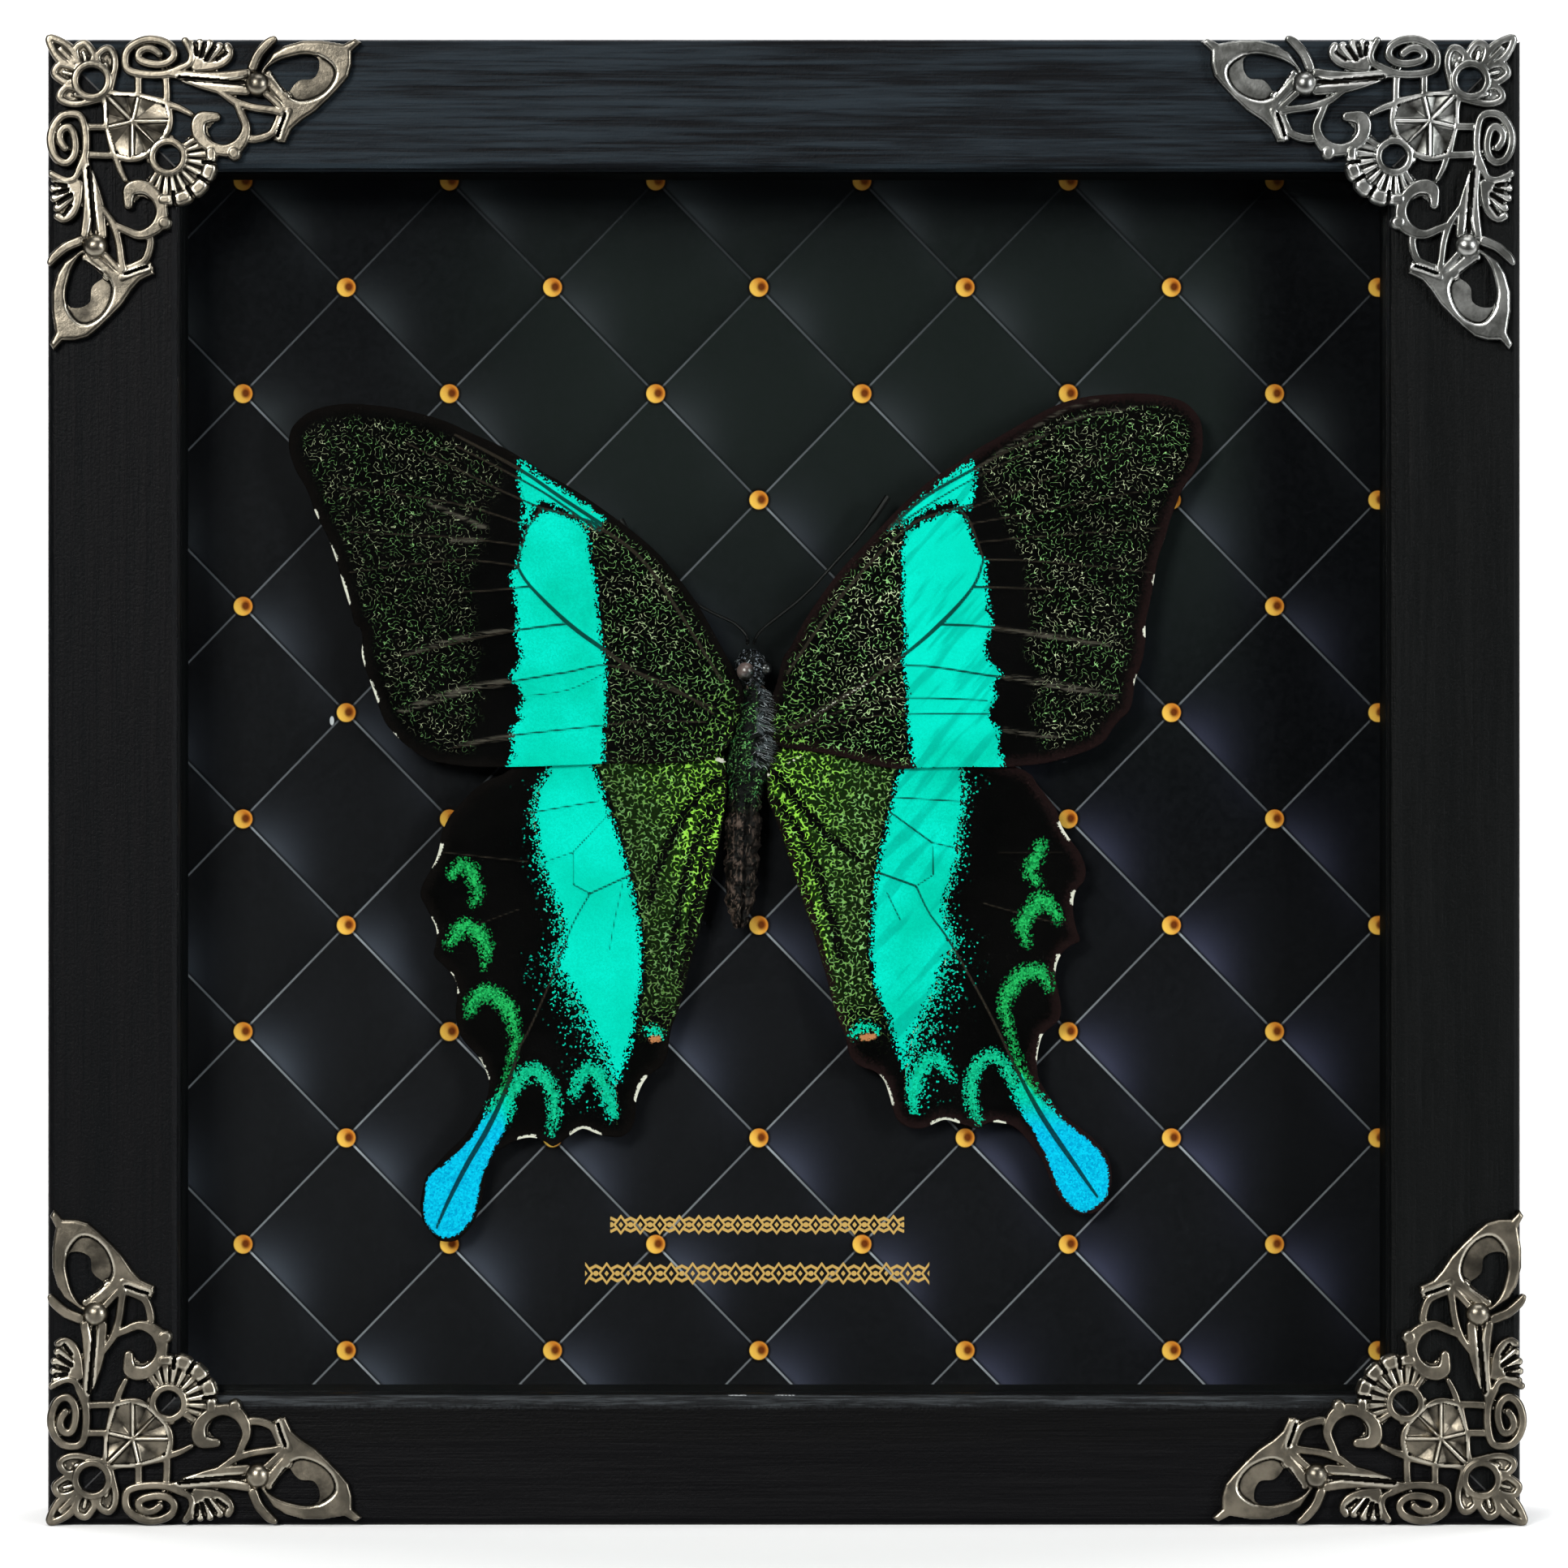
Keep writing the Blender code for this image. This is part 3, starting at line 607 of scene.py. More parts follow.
def corner_field(points):
    """(inside value, height in millimetres) of the casting at local pixel places (u, v)."""
    both = [points, points[:, ::-1]]
    value = np.full(len(points), -1e9)
    height = np.zeros(len(points))
    corner = np.array(CORNER_PIXEL, float)

    def add(gap, reach, base, rise):
        nonlocal value, height
        value = np.maximum(value, gap)
        share = np.clip(gap / (reach if rise > 1 else reach * CORNER_BOXINESS), 0, 1)
        top = base + rise * rounded(share)
        height = np.where(gap > -EDGE_REACH, np.maximum(height, top), height)

    def add_stroke(route, radii, base, rise):
        route, radii = smoothed(np.array(route, float) - corner, np.asarray(radii) + CORNER_SWELL, 4)
        for grid in both:
            gap, along = near_stroke(grid, route, radii)
            reach = np.interp(along, np.linspace(0, 1, len(radii)), radii)
            add(gap, np.minimum(reach, max(CORNER_ROUNDING, 12 * rise)), base, rise)

    for floor in CORNER_FLOORS:
        for grid in both:
            gap, _ = signed_distance(grid, np.array(floor, float) - corner)
            add(gap + FLOOR_SWELL, FLOOR_ROUNDING, *FLOOR)
    leaf, hole, tongue = (np.array(loop, float) - corner for loop in (LEAF, LEAF_HOLE, LEAF_TONGUE))
    for grid in both:
        gap = np.minimum(signed_distance(grid, leaf)[0], -signed_distance(grid, catmull(hole, True, 3))[0])
        value = np.maximum(value, gap)
        rim = np.minimum(gap, -signed_distance(grid, catmull(tongue, True, 3))[0])
        top = PLATE[0] + PLATE[1] * rounded(np.clip(rim / LEAF_ROUNDING, 0, 1))
        top = np.where(rim > 0, top, TONGUE_HEIGHT)
        height = np.where(gap > -EDGE_REACH, np.maximum(height, top), height)
    add_stroke([around(RING, SHELL_BED, angle) for angle in SHELL_BED_ANGLES], SHELL_BED_RADIUS, *BED)
    for angle in SHELL_ANGLES:
        add_stroke([around(RING, radius, angle) for radius in SHELL_RIBS], SHELL_RIB_RADII, *BAR)
    for angle, radius in SHELL_LOBES:
        ends = (angle - LOBE_HALF_ANGLE, angle + LOBE_HALF_ANGLE)
        add_stroke([around(RING, SHELL_RIM, end) for end in ends], radius, *LOBE)
    for centre, middle, radius in CORNER_RINGS:
        away = np.hypot(*(points - (np.array(centre) - corner)).T)
        add(radius - abs(away - middle), radius, *SCROLL)
    for stroke in CORNER_STROKES:
        add_stroke(*stroke)
    for centre, middle, radius in CORNER_RINGS:
        away = np.hypot(*(points - (np.array(centre) - corner)).T)
        value = np.minimum(value, away - (middle - radius))
    notches = [([around(RING, radius, angle) for radius in NOTCHES], NOTCH_RADIUS) for angle in NOTCH_ANGLES]
    for route, radius in CORNER_GROOVES + notches:
        for grid in both:
            gap, _ = near_stroke(grid, np.array(route, float) - corner, radius)
            cut = GROOVE_FLOOR + 0.5 * np.clip(-gap, 0, 2)
            height = np.where(gap > -GROOVE_REACH, np.minimum(height, cut), height)
    for grid in both:
        mine, gap, facets = wheel_facets(grid, corner)
        height = np.where(mine, facets, height)
        value = np.where(mine, np.maximum(value, gap), value)
    return value, height


def relief_mesh():
    """The casting as (points (u, v) in pixels, height in millimetres, how hollow each place is, quads)."""
    count = int(CORNER_SPAN / CORNER_STEP) + 8
    line = (np.arange(count) - 5) * CORNER_STEP
    u, v = np.meshgrid(line, line, indexing="ij")
    points = np.stack([u.ravel(), v.ravel()], axis=1)
    value = np.full(len(points), -50.0)
    height = np.zeros(len(points))
    near = (points.sum(axis=1) < CORNER_DIAGONAL) & (points.min(axis=1) > -CORNER_MARGIN)
    value[near], height[near] = corner_field(points[near])
    field = value.reshape(count, count)
    du, dv = np.gradient(field, CORNER_STEP)
    size = np.maximum(np.hypot(du, dv), 0.2)
    pull = np.clip(-field, 0, 2.2) / size
    moved = np.stack([u + du / size * pull, v + dv / size * pull], axis=-1).reshape(-1, 2)
    solid = field > 0
    hollow = cavity(height.reshape(count, count), solid)
    hollow = np.where(hollow < 0, hollow * fade(field.ravel(), 1.0, 4.5), hollow)
    return moved, height, hollow, grid_quads(solid)


def cavity(height, solid):
    """How far each place stands above (+) or below (-) the mean height around it."""
    weight = solid.astype(float)
    total = height * weight
    for axis in (0, 1):
        total = sum(np.roll(total, k, axis) for k in range(-CAVITY_REACH, CAVITY_REACH + 1))
        weight = sum(np.roll(weight, k, axis) for k in range(-CAVITY_REACH, CAVITY_REACH + 1))
    return (height - total / np.maximum(weight, 1e-9)).ravel()


def grid_quads(solid):
    """Quads for the cells of a grid that have a solid point: rows of four point numbers."""
    keep = solid[:-1, :-1] | solid[1:, :-1] | solid[:-1, 1:] | solid[1:, 1:]
    i, j = np.nonzero(keep)
    width = keep.shape[1] + 1
    a = i * width + j
    return np.stack([a, a + width, a + width + 1, a + 1], axis=1)


def border_edges(quads):
    """Edges that only one quad has, in the quad's direction."""
    edges = np.concatenate([quads[:, [k, (k + 1) % 4]] for k in range(4)])
    key = np.sort(edges, axis=1)
    _, first, count = np.unique(key, axis=0, return_index=True, return_counts=True)
    return edges[first[count == 1]]


def wall_quads(edges, behind):
    """Quads from the edges of a front sheet to the edges behind them."""
    return np.stack([edges[:, 1], edges[:, 0], behind[:, 0], behind[:, 1]], axis=1)


def used_only(points, faces):
    """The points that a face uses, and the faces with their new point numbers."""
    used = np.unique(faces)
    lookup = np.zeros(len(points), int)
    lookup[used] = np.arange(len(used))
    return used, lookup[faces]


def fast_mesh(name, verts, quads, finish):
    mesh = bpy.data.meshes.new(name)
    mesh.vertices.add(len(verts))
    mesh.vertices.foreach_set("co", np.asarray(verts, np.float32).ravel())
    mesh.loops.add(4 * len(quads))
    mesh.loops.foreach_set("vertex_index", np.asarray(quads, np.int32).ravel())
    mesh.polygons.add(len(quads))
    mesh.polygons.foreach_set("loop_start", np.arange(0, 4 * len(quads), 4, dtype=np.int32))
    mesh.update(calc_edges=True)
    mesh.validate()
    mesh.shade_smooth()
    mesh.materials.append(finish)
    made = bpy.data.objects.new(name, mesh)
    bpy.context.scene.collection.objects.link(made)
    return made


# The upper right casting is the most silvery: where that starts and ends, across and up
SILVER_ACROSS = (0.0, 0.04)
SILVER_UP = (0.08, 0.12)


def antique_metal():
    made, t, shader = node_material("antiqued_metal", (0.4, 0.36, 0.3), 0.36, 1.0)
    place = t.position()
    relief = t.attribute("relief")
    stain = t.noise(place, 260, 4, 0.6)
    fine = t.noise(place, 2600, 3, 0.6)
    hollow = t.attribute("hollow")
    clean = t.ramp(relief + (stain - 0.5) * 0.7, 0.3, 0.8) * t.ramp(hollow + (fine - 0.5) * 0.1, -0.26, -0.05)
    x, _, z = t.xyz(place)
    silver = t.ramp(x, *SILVER_ACROSS) * t.ramp(z, *SILVER_UP)
    warm = t.blend(t.ramp(stain, 0.35, 0.7), linear(74, 70, 62), linear(118, 111, 98))
    cold = t.blend(t.ramp(stain, 0.35, 0.7), linear(88, 89, 86), linear(148, 149, 146))
    worn = t.blend(silver, warm, cold)
    edge = t.blend(silver, linear(206, 200, 184), linear(244, 244, 240))
    worn = t.blend(t.ramp(hollow, 0.04, 0.16) * (0.55 + silver * 0.15), worn, edge)
    t.link(t.blend(clean, linear(13, 12, 10), worn), shader.inputs["Base Color"])
    t.link(0.46 - clean * 0.18 + fine * 0.08, shader.inputs["Roughness"])
    t.link(t.bump(stain + fine * 0.6, 0.0001, 0.35), shader.inputs["Normal"])
    return made


def add_corners():
    points, height, hollow, quads = relief_mesh()
    used, quads = used_only(points, quads)
    points, height, hollow = points[used], height[used], hollow[used]
    edges = border_edges(quads)
    scale = photo_scale(0)
    finish = antique_metal()
    for name, across, up in (
        ("corner_top_left", 1, -1),
        ("corner_top_right", -1, -1),
        ("corner_bottom_left", 1, 1),
        ("corner_bottom_right", -1, 1),
    ):
        foot = LOWER_CORNER_FOOT if up > 0 else FRAME_HEIGHT
        right, down = CORNER_SHIFTS[name.removeprefix("corner_")]
        x = across * (points[:, 0] * scale - FRAME_WIDTH / 2) + right * scale
        z = foot + up * points[:, 1] * scale - down * scale
        front = np.stack([x, FRONT_Y - CORNER_BACK - height * MM, z], axis=1)
        rim = np.unique(edges)
        back = front[rim].copy()
        back[:, 1] = FRONT_Y - CORNER_BACK
        lookup = np.zeros(len(front), int)
        lookup[rim] = len(front) + np.arange(len(rim))
        faces = np.concatenate([quads, wall_quads(edges, lookup[edges])])
        if across * up < 0:
            faces = faces[:, ::-1]
        made = fast_mesh(name + "_casting", np.concatenate([front, back]), faces, finish)
        add_attribute(made, "relief", np.concatenate([height, np.zeros(len(rim))]))
        add_attribute(made, "hollow", np.concatenate([hollow, hollow[rim]]))
        made.data.set_sharp_from_angle(angle=SHARP_ANGLE)
        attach(made, "root")
        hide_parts(name)


# Wings. Outlines and markings are in photograph pixels.

WING_STEP = 2.6
WING_THICKNESS = 0.12 * MM
WING_DROOP = 0.025
FOREWING_HEIGHT = 5.3 * MM
HINDWING_HEIGHT = 4.5 * MM
LEFT_FORE_ROOT, RIGHT_FORE_ROOT = (900, 890), (951, 890)
LEFT_HIND_ROOT, RIGHT_HIND_ROOT = (897, 950), (952, 950)
# How far veins and streaks stand out, and how high the broad ripples, fine ripples and edge curls are, in mm
VEIN_RISE, STREAK_RISE = 0.09, 0.1
RIPPLE, FINE_RIPPLE, EDGE_CURL = 0.12, 0.05, 0.18
# A value for points that no mark reaches
FAR_OFF = -99.0
FRINGE_HALF_WIDTH = 3.0
# The tails turn from turquoise to blue between these rows, and between these distances from the wing's root
TAIL_HUE = 0.9
BLUE_ROWS = (1325, 1420)
BLUE_DISTANCES = (262, 282)

LEFT_FOREWING = [
    (919, 866), (911, 838), (890, 799), (867, 757), (851, 732), (832, 707), (813, 684), (790, 663),
    (767, 645), (744, 628), (721, 612), (694, 595), (667, 580), (644, 565), (624, 553), (601, 542),
    (578, 532), (555, 521), (532, 513), (509, 507), (486, 502), (463, 499), (440, 497), (421, 497),
    (400, 500), (382, 506), (369, 515), (359, 526), (355, 538), (355, 551), (358, 565), (365, 582),
    (373, 595), (379, 607), (388, 632), (402, 659), (410, 680), (416, 698), (423, 724), (432, 752),
    (436, 768), (443, 774), (446, 786), (445, 801), (447, 815), (458, 847), (463, 861), (473, 888),
    (483, 901), (495, 914), (506, 923), (518, 931), (533, 938), (556, 942), (587, 945), (624, 945),
    (700, 943), (744, 941), (800, 941), (850, 939), (880, 932), (900, 915), (906, 895),
]
RIGHT_FOREWING = [
    (950, 862), (957, 842), (964, 812), (974, 797), (983, 780), (994, 760), (1009, 738), (1028, 712),
    (1046, 691), (1069, 667), (1091, 643), (1113, 621), (1143, 594), (1173, 574), (1202, 554), (1232, 537),
    (1254, 524), (1277, 511), (1299, 500), (1321, 492), (1347, 487), (1373, 485), (1399, 484), (1422, 485),
    (1440, 488), (1459, 494), (1472, 505), (1480, 518), (1483, 537), (1482, 555), (1477, 572), (1470, 585),
    (1462, 596), (1455, 608), (1448, 626), (1442, 641), (1438, 656), (1433, 671), (1427, 689), (1423, 711),
    (1420, 730), (1416, 749), (1412, 767), (1412, 786), (1410, 804), (1405, 823), (1399, 838), (1397, 856),
    (1392, 875), (1381, 886), (1371, 898), (1362, 912), (1347, 922), (1329, 929), (1306, 936), (1284, 941),
    (1254, 944), (1236, 945), (1180, 945), (1121, 947), (1098, 947), (1068, 940), (1031, 931), (994, 925),
    (964, 921), (950, 912), (946, 890),
]
LEFT_HINDWING = [
    (893, 930), (860, 905), (790, 895), (720, 905), (660, 928), (619, 954), (599, 962), (583, 974),
    (567, 990), (555, 1004), (548, 1017), (543, 1029), (541, 1045), (535, 1063), (526, 1079), (519, 1093),
    (518, 1105), (524, 1117), (530, 1129), (536, 1141), (538, 1156), (534, 1176), (544, 1188), (556, 1200),
    (562, 1212), (563, 1228), (561, 1248), (564, 1268), (570, 1282), (581, 1294), (590, 1304), (597, 1317),
    (602, 1331), (601, 1347), (595, 1363), (583, 1383), (571, 1401), (552, 1419), (536, 1437), (524, 1451),
    (520, 1467), (517, 1486), (520, 1504), (530, 1520), (542, 1530), (560, 1530), (571, 1522), (581, 1510),
    (589, 1494), (595, 1467), (599, 1443), (609, 1423), (623, 1413), (637, 1405), (655, 1402), (671, 1407),
    (681, 1413), (695, 1405), (703, 1399), (718, 1391), (734, 1397), (750, 1401), (766, 1401), (778, 1391),
    (783, 1375), (784, 1355), (792, 1335), (802, 1323), (814, 1315), (822, 1300), (824, 1284), (828, 1264),
    (836, 1244), (844, 1216), (850, 1188), (858, 1160), (866, 1129), (872, 1101), (880, 1069), (886, 1041),
    (891, 1009), (895, 982),
]
RIGHT_HINDWING = [
    (950, 935), (985, 905), (1060, 895), (1130, 905), (1190, 925), (1262, 949), (1278, 966), (1293, 985),
    (1302, 998), (1308, 1017), (1320, 1036), (1331, 1051), (1338, 1070), (1336, 1085), (1327, 1096),
    (1323, 1108), (1323, 1127), (1327, 1146), (1331, 1159), (1320, 1165), (1308, 1176), (1301, 1195),
    (1303, 1217), (1308, 1240), (1306, 1255), (1299, 1263), (1286, 1274), (1280, 1293), (1278, 1312),
    (1280, 1329), (1287, 1342), (1297, 1357), (1308, 1371), (1323, 1384), (1338, 1395), (1354, 1410),
    (1365, 1425), (1370, 1441), (1370, 1459), (1365, 1478), (1355, 1492), (1342, 1497), (1327, 1495),
    (1312, 1484), (1302, 1471), (1295, 1456), (1287, 1435), (1276, 1418), (1263, 1401), (1250, 1389),
    (1233, 1384), (1217, 1384), (1206, 1391), (1195, 1389), (1180, 1384), (1164, 1380), (1149, 1386),
    (1136, 1391), (1119, 1389), (1106, 1380), (1100, 1365), (1096, 1350), (1089, 1331), (1077, 1320),
    (1060, 1314), (1047, 1301), (1042, 1278), (1032, 1255), (1025, 1233), (1019, 1206), (1011, 1180),
    (1002, 1149), (992, 1119), (983, 1093), (973, 1062), (964, 1032), (953, 1002), (945, 979),
]

# The pale band of each wing: its edge away from the body, then its edge towards the body
LEFT_FOREWING_BAND = (
    [
        (648, 655), (643, 672), (634, 699), (628, 711), (630, 726), (634, 745), (636, 765), (634, 784),
        (642, 807), (636, 822), (625, 834), (636, 845), (644, 861), (636, 876), (642, 884), (628, 899),
        (630, 915), (632, 930), (619, 950),
    ],
    [
        (701, 638), (721, 653), (725, 672), (730, 695), (734, 711), (736, 734), (738, 757), (740, 780),
        (744, 799), (747, 815), (748, 838), (747, 861), (748, 880), (746, 899), (745, 918), (743, 950),
    ],
)
RIGHT_FOREWING_BAND = (
    [
        (1180, 626), (1188, 637), (1195, 656), (1204, 678), (1217, 693), (1214, 708), (1217, 723),
        (1219, 738), (1221, 756), (1225, 771), (1217, 786), (1214, 801), (1221, 816), (1236, 831),
        (1225, 842), (1229, 860), (1217, 879), (1232, 898), (1232, 916), (1236, 935), (1238, 950),
    ],
    [
        (1115, 652), (1115, 663), (1111, 678), (1111, 693), (1113, 715), (1111, 738), (1113, 760),
        (1115, 782), (1115, 797), (1111, 816), (1115, 834), (1117, 857), (1117, 879), (1119, 901),
        (1121, 920), (1124, 938), (1130, 950),
    ],
)
LEFT_HINDWING_BAND = (
    [
        (680, 930), (673, 954), (664, 970), (659, 990), (658, 1010), (663, 1037), (666, 1061), (674, 1085),
        (685, 1109), (693, 1137), (693, 1160), (686, 1188), (693, 1200), (703, 1216), (712, 1236),
        (723, 1256), (736, 1280), (748, 1304), (759, 1332),
    ],
    [
        (722, 930), (737, 958), (746, 985), (757, 1015), (768, 1050), (775, 1080), (783, 1110), (788, 1145),
        (791, 1180), (791, 1205), (786, 1235), (782, 1262), (777, 1290), (770, 1312), (763, 1332),
    ],
)
RIGHT_HINDWING_BAND = (
    [
        (1180, 930), (1186, 954), (1188, 975), (1186, 1005), (1180, 1030), (1181, 1052), (1174, 1075),
        (1168, 1098), (1163, 1120), (1166, 1142), (1176, 1165), (1166, 1180), (1160, 1200), (1150, 1225),
        (1138, 1248), (1126, 1272), (1121, 1296), (1116, 1316),
    ],
    [
        (1121, 930), (1106, 958), (1099, 985), (1093, 1015), (1085, 1050), (1080, 1078), (1076, 1110),
        (1074, 1145), (1073, 1180), (1077, 1208), (1086, 1235), (1096, 1260), (1103, 1285), (1108, 1302),
        (1112, 1316),
    ],
)
LEFT_WEDGE = [
    (638, 566), (650, 573), (668, 586), (700, 606), (722, 620), (746, 638), (738, 654), (712, 641),
    (690, 626), (667, 618), (656, 628), (648, 650), (640, 652), (644, 625), (638, 600),
]
LEFT_CAP = [
    (640, 672), (650, 650), (659, 637), (669, 627), (686, 630), (708, 640), (726, 656), (728, 680),
    (690, 690),
]
RIGHT_WEDGE = [
    (1202, 567), (1185, 575), (1160, 592), (1130, 615), (1110, 634), (1093, 654), (1118, 645), (1140, 631),
    (1160, 620), (1180, 619), (1196, 630), (1200, 615), (1203, 590),
]
RIGHT_CAP = [
    (1206, 680), (1197, 655), (1190, 638), (1180, 627), (1160, 632), (1138, 642), (1117, 654), (1113, 680),
    (1160, 690),
]

# Veins: (route, half width in pixels)
LEFT_FOREWING_VEINS = [
    (
        [(637, 697), (653, 722), (700, 768), (745, 801), (800, 838), (880, 872)],
        [1.5, 1.8, 2.6, 2.6, 1.2, 1.0],
    ),
    ([(653, 722), (620, 726), (560, 730)], [1.4, 1.1, 0.8]),
    ([(700, 768), (640, 776), (578, 788), (494, 809)], [1.5, 1.3, 1.3, 1.0]),
    (
        [(880, 880), (820, 842), (751, 820), (700, 828), (640, 838), (600, 846)],
        [1.0, 1.0, 1.2, 1.2, 1.2, 1.0],
    ),
    ([(751, 826), (700, 850), (640, 858)], [0.7, 0.7, 0.6]),
    (
        [(870, 890), (800, 888), (748, 893), (640, 905), (620, 909), (555, 922)],
        [0.9, 0.9, 1.0, 1.1, 1.1, 0.9],
    ),
    ([(667, 626), (659, 638), (648, 655), (637, 697)], [1.6, 1.4, 1.3, 1.2]),
    ([(667, 626), (720, 640), (742, 652), (800, 700), (890, 840)], [1.5, 1.5, 2.0, 2.0, 1.6]),
    ([(560, 535), (640, 578), (690, 612), (742, 646)], [1.2, 2.0, 2.2, 2.2]),
    ([(560, 548), (648, 594), (690, 620), (740, 656)], [0.9, 1.2, 1.4, 1.6]),
    ([(667, 626), (600, 596), (500, 545)], [1.2, 1.0, 0.8]),
    ([(652, 648), (560, 620), (420, 600)], [1.0, 0.9, 0.7]),
    ([(644, 672), (560, 662), (430, 655)], [1.0, 0.9, 0.7]),
    ([(637, 697), (560, 690), (430, 705)], [1.0, 0.9, 0.7]),
]
RIGHT_FOREWING_VEINS = [
    (
        [(960, 900), (1003, 884), (1102, 816), (1158, 769), (1199, 723), (1212, 689)],
        [1.0, 1.2, 1.8, 2.6, 1.8, 1.4],
    ),
    ([(1158, 769), (1225, 773), (1300, 785), (1366, 793)], [1.5, 1.3, 1.2, 1.0]),
    ([(1199, 723), (1240, 724), (1300, 726)], [1.4, 1.1, 0.8]),
    ([(970, 895), (1060, 845), (1117, 820), (1217, 832), (1247, 836)], [0.9, 1.0, 1.2, 1.3, 1.3]),
    ([(975, 900), (1060, 868), (1120, 860), (1217, 863)], [0.9, 1.0, 1.1, 1.0]),
    ([(980, 905), (1060, 885), (1125, 880), (1219, 880)], [0.9, 0.9, 1.0, 1.1]),
    ([(1212, 689), (1195, 643), (1180, 626)], [1.3, 1.4, 1.5]),
    (
        [(970, 830), (1040, 730), (1115, 652), (1158, 632), (1180, 626), (1197, 621)],
        [1.6, 2.0, 1.6, 1.5, 1.5, 1.2],
    ),
    ([(1096, 650), (1140, 612), (1203, 576), (1280, 535)], [2.2, 2.0, 1.8, 1.2]),
    ([(1108, 646), (1150, 618), (1203, 588), (1290, 545)], [1.4, 1.2, 1.1, 0.9]),
    ([(1190, 628), (1290, 590), (1400, 550)], [1.1, 0.9, 0.7]),
    ([(1196, 645), (1290, 628), (1430, 600)], [1.0, 0.9, 0.7]),
    ([(1204, 668), (1290, 660), (1430, 650)], [1.0, 0.9, 0.7]),
    ([(1212, 689), (1290, 692), (1420, 705)], [1.0, 0.9, 0.7]),
]
LEFT_STREAKS = [
    ([(625, 840), (580, 848), (540, 860), (492, 877)], [3.4, 4.0, 4.0, 2.0]),
    ([(632, 775), (560, 788), (500, 806)], [1.6, 2.4, 1.6]),
    ([(632, 907), (566, 918)], [2.6, 1.6]),
    ([(528, 620), (596, 650)], [1.6, 2.6]),
    ([(556, 666), (592, 665)], [2.2, 2.2]),
]
RIGHT_STREAKS = [
    ([(1240, 834), (1290, 842), (1330, 850), (1375, 858)], [2.5, 4.0, 3.6, 2.0]),
    ([(1222, 773), (1300, 785), (1366, 795)], [1.6, 2.4, 1.6]),
    ([(1238, 899), (1305, 910)], [2.0, 1.4]),
    ([(1203, 579), (1257, 539), (1305, 508), (1353, 492)], [0.9, 1.0, 0.9, 0.6]),
    ([(1262, 550), (1330, 514), (1400, 501)], [0.5, 0.7, 0.5]),
]
LEFT_HINDWING_VEINS = [
    ([(650, 1002), (738, 987)], 0.9),
    ([(752, 1001), (706, 1050)], 0.8),
    ([(706, 1050), (665, 1064)], 0.7),
    ([(706, 1050), (706, 1090)], 0.7),
    ([(706, 1090), (727, 1101)], 0.8),
    ([(727, 1101), (777, 1078)], 1.2),
    ([(727, 1101), (705, 1140), (684, 1195), (655, 1262), (640, 1290)], [1.1, 1.0, 1.2, 1.2, 1.4]),
    ([(768, 1086), (758, 1130), (751, 1170)], 0.6),
    (
        [(640, 1290), (622, 1345), (600, 1392), (575, 1435), (552, 1480), (537, 1514)],
        [1.4, 2.4, 3.2, 3.0, 2.4, 1.4],
    ),
    ([(640, 1120), (560, 1150)], 0.7),
    ([(650, 1062), (545, 1050)], 0.7),
]
LEFT_FOLDS = [
    ([(897, 950), (858, 984), (830, 1028), (812, 1066), (800, 1110)], [3.0, 3.5, 3.5, 3.0, 1.0]),
    ([(893, 975), (876, 1015), (862, 1085), (850, 1150), (838, 1215)], [1.0, 2.5, 3.0, 3.0, 2.0]),
    ([(872, 995), (850, 1060), (836, 1120), (826, 1190)], [1.0, 2.0, 2.5, 1.0]),
]
LEFT_GOLD = [
    ([(893, 985), (882, 1020), (868, 1050), (858, 1090), (846, 1120)], [2.0, 2.5, 5.0, 5.0, 2.0]),
    ([(870, 985), (845, 1030), (832, 1075)], [2.0, 4.0, 2.0]),
]
RIGHT_HINDWING_VEINS = [
    ([(1096, 982), (1190, 988)], 0.9),
    ([(1096, 1000), (1148, 1038)], 1.0),
    ([(1148, 1038), (1182, 1046)], 0.8),
    ([(1149, 1042), (1150, 1078)], 0.9),
    ([(1150, 1078), (1129, 1092)], 0.9),
    ([(1129, 1092), (1082, 1075)], 1.3),
    ([(1129, 1092), (1145, 1125), (1170, 1160), (1215, 1240), (1250, 1312)], [1.1, 1.0, 1.2, 1.2, 1.4]),
    ([(1093, 1100), (1110, 1135)], 0.7),
    ([(1212, 1113), (1310, 1140)], 0.7),
    ([(1230, 1050), (1310, 1050)], 0.7),
    (
        [(1250, 1312), (1263, 1338), (1282, 1372), (1302, 1403), (1323, 1433), (1353, 1476)],
        [1.4, 2.2, 3.0, 3.2, 2.8, 1.4],
    ),
]
RIGHT_FOLDS = [
    ([(955, 952), (985, 990), (1020, 1030), (1060, 1060)], [3.0, 3.0, 3.0, 1.0]),
    ([(955, 985), (985, 1025), (1008, 1075), (1024, 1130), (1036, 1180)], [2.0, 2.5, 3.5, 3.5, 2.0]),
    ([(960, 1010), (990, 1085), (1010, 1160), (1024, 1210)], [1.0, 1.5, 1.5, 1.0]),
]
RIGHT_GOLD = [
    ([(962, 1025), (982, 1065), (1000, 1095), (1012, 1140), (1018, 1180)], [2.0, 5.0, 6.0, 5.5, 3.0]),
    ([(956, 975), (985, 1010), (1000, 1040)], [2.0, 4.0, 2.0]),
]

# Pale hair bits and painted glints beside the body, and the amber spots at the inner corners of the hindwings
GLINTS = [
    ([(884, 935), (892, 938)], 2.4),
    ([(971, 941), (987, 931)], 0.9),
    ([(993, 889), (1040, 858), (1078, 838)], 0.5),
    ([(943, 951), (948, 956)], 1.2),
    ([(903, 951), (908, 957)], 0.9),
]
AMBER_SPOTS = [([(803, 1281), (811, 1280)], 3.6), ([(1063, 1279), (1076, 1277)], 3.6)]

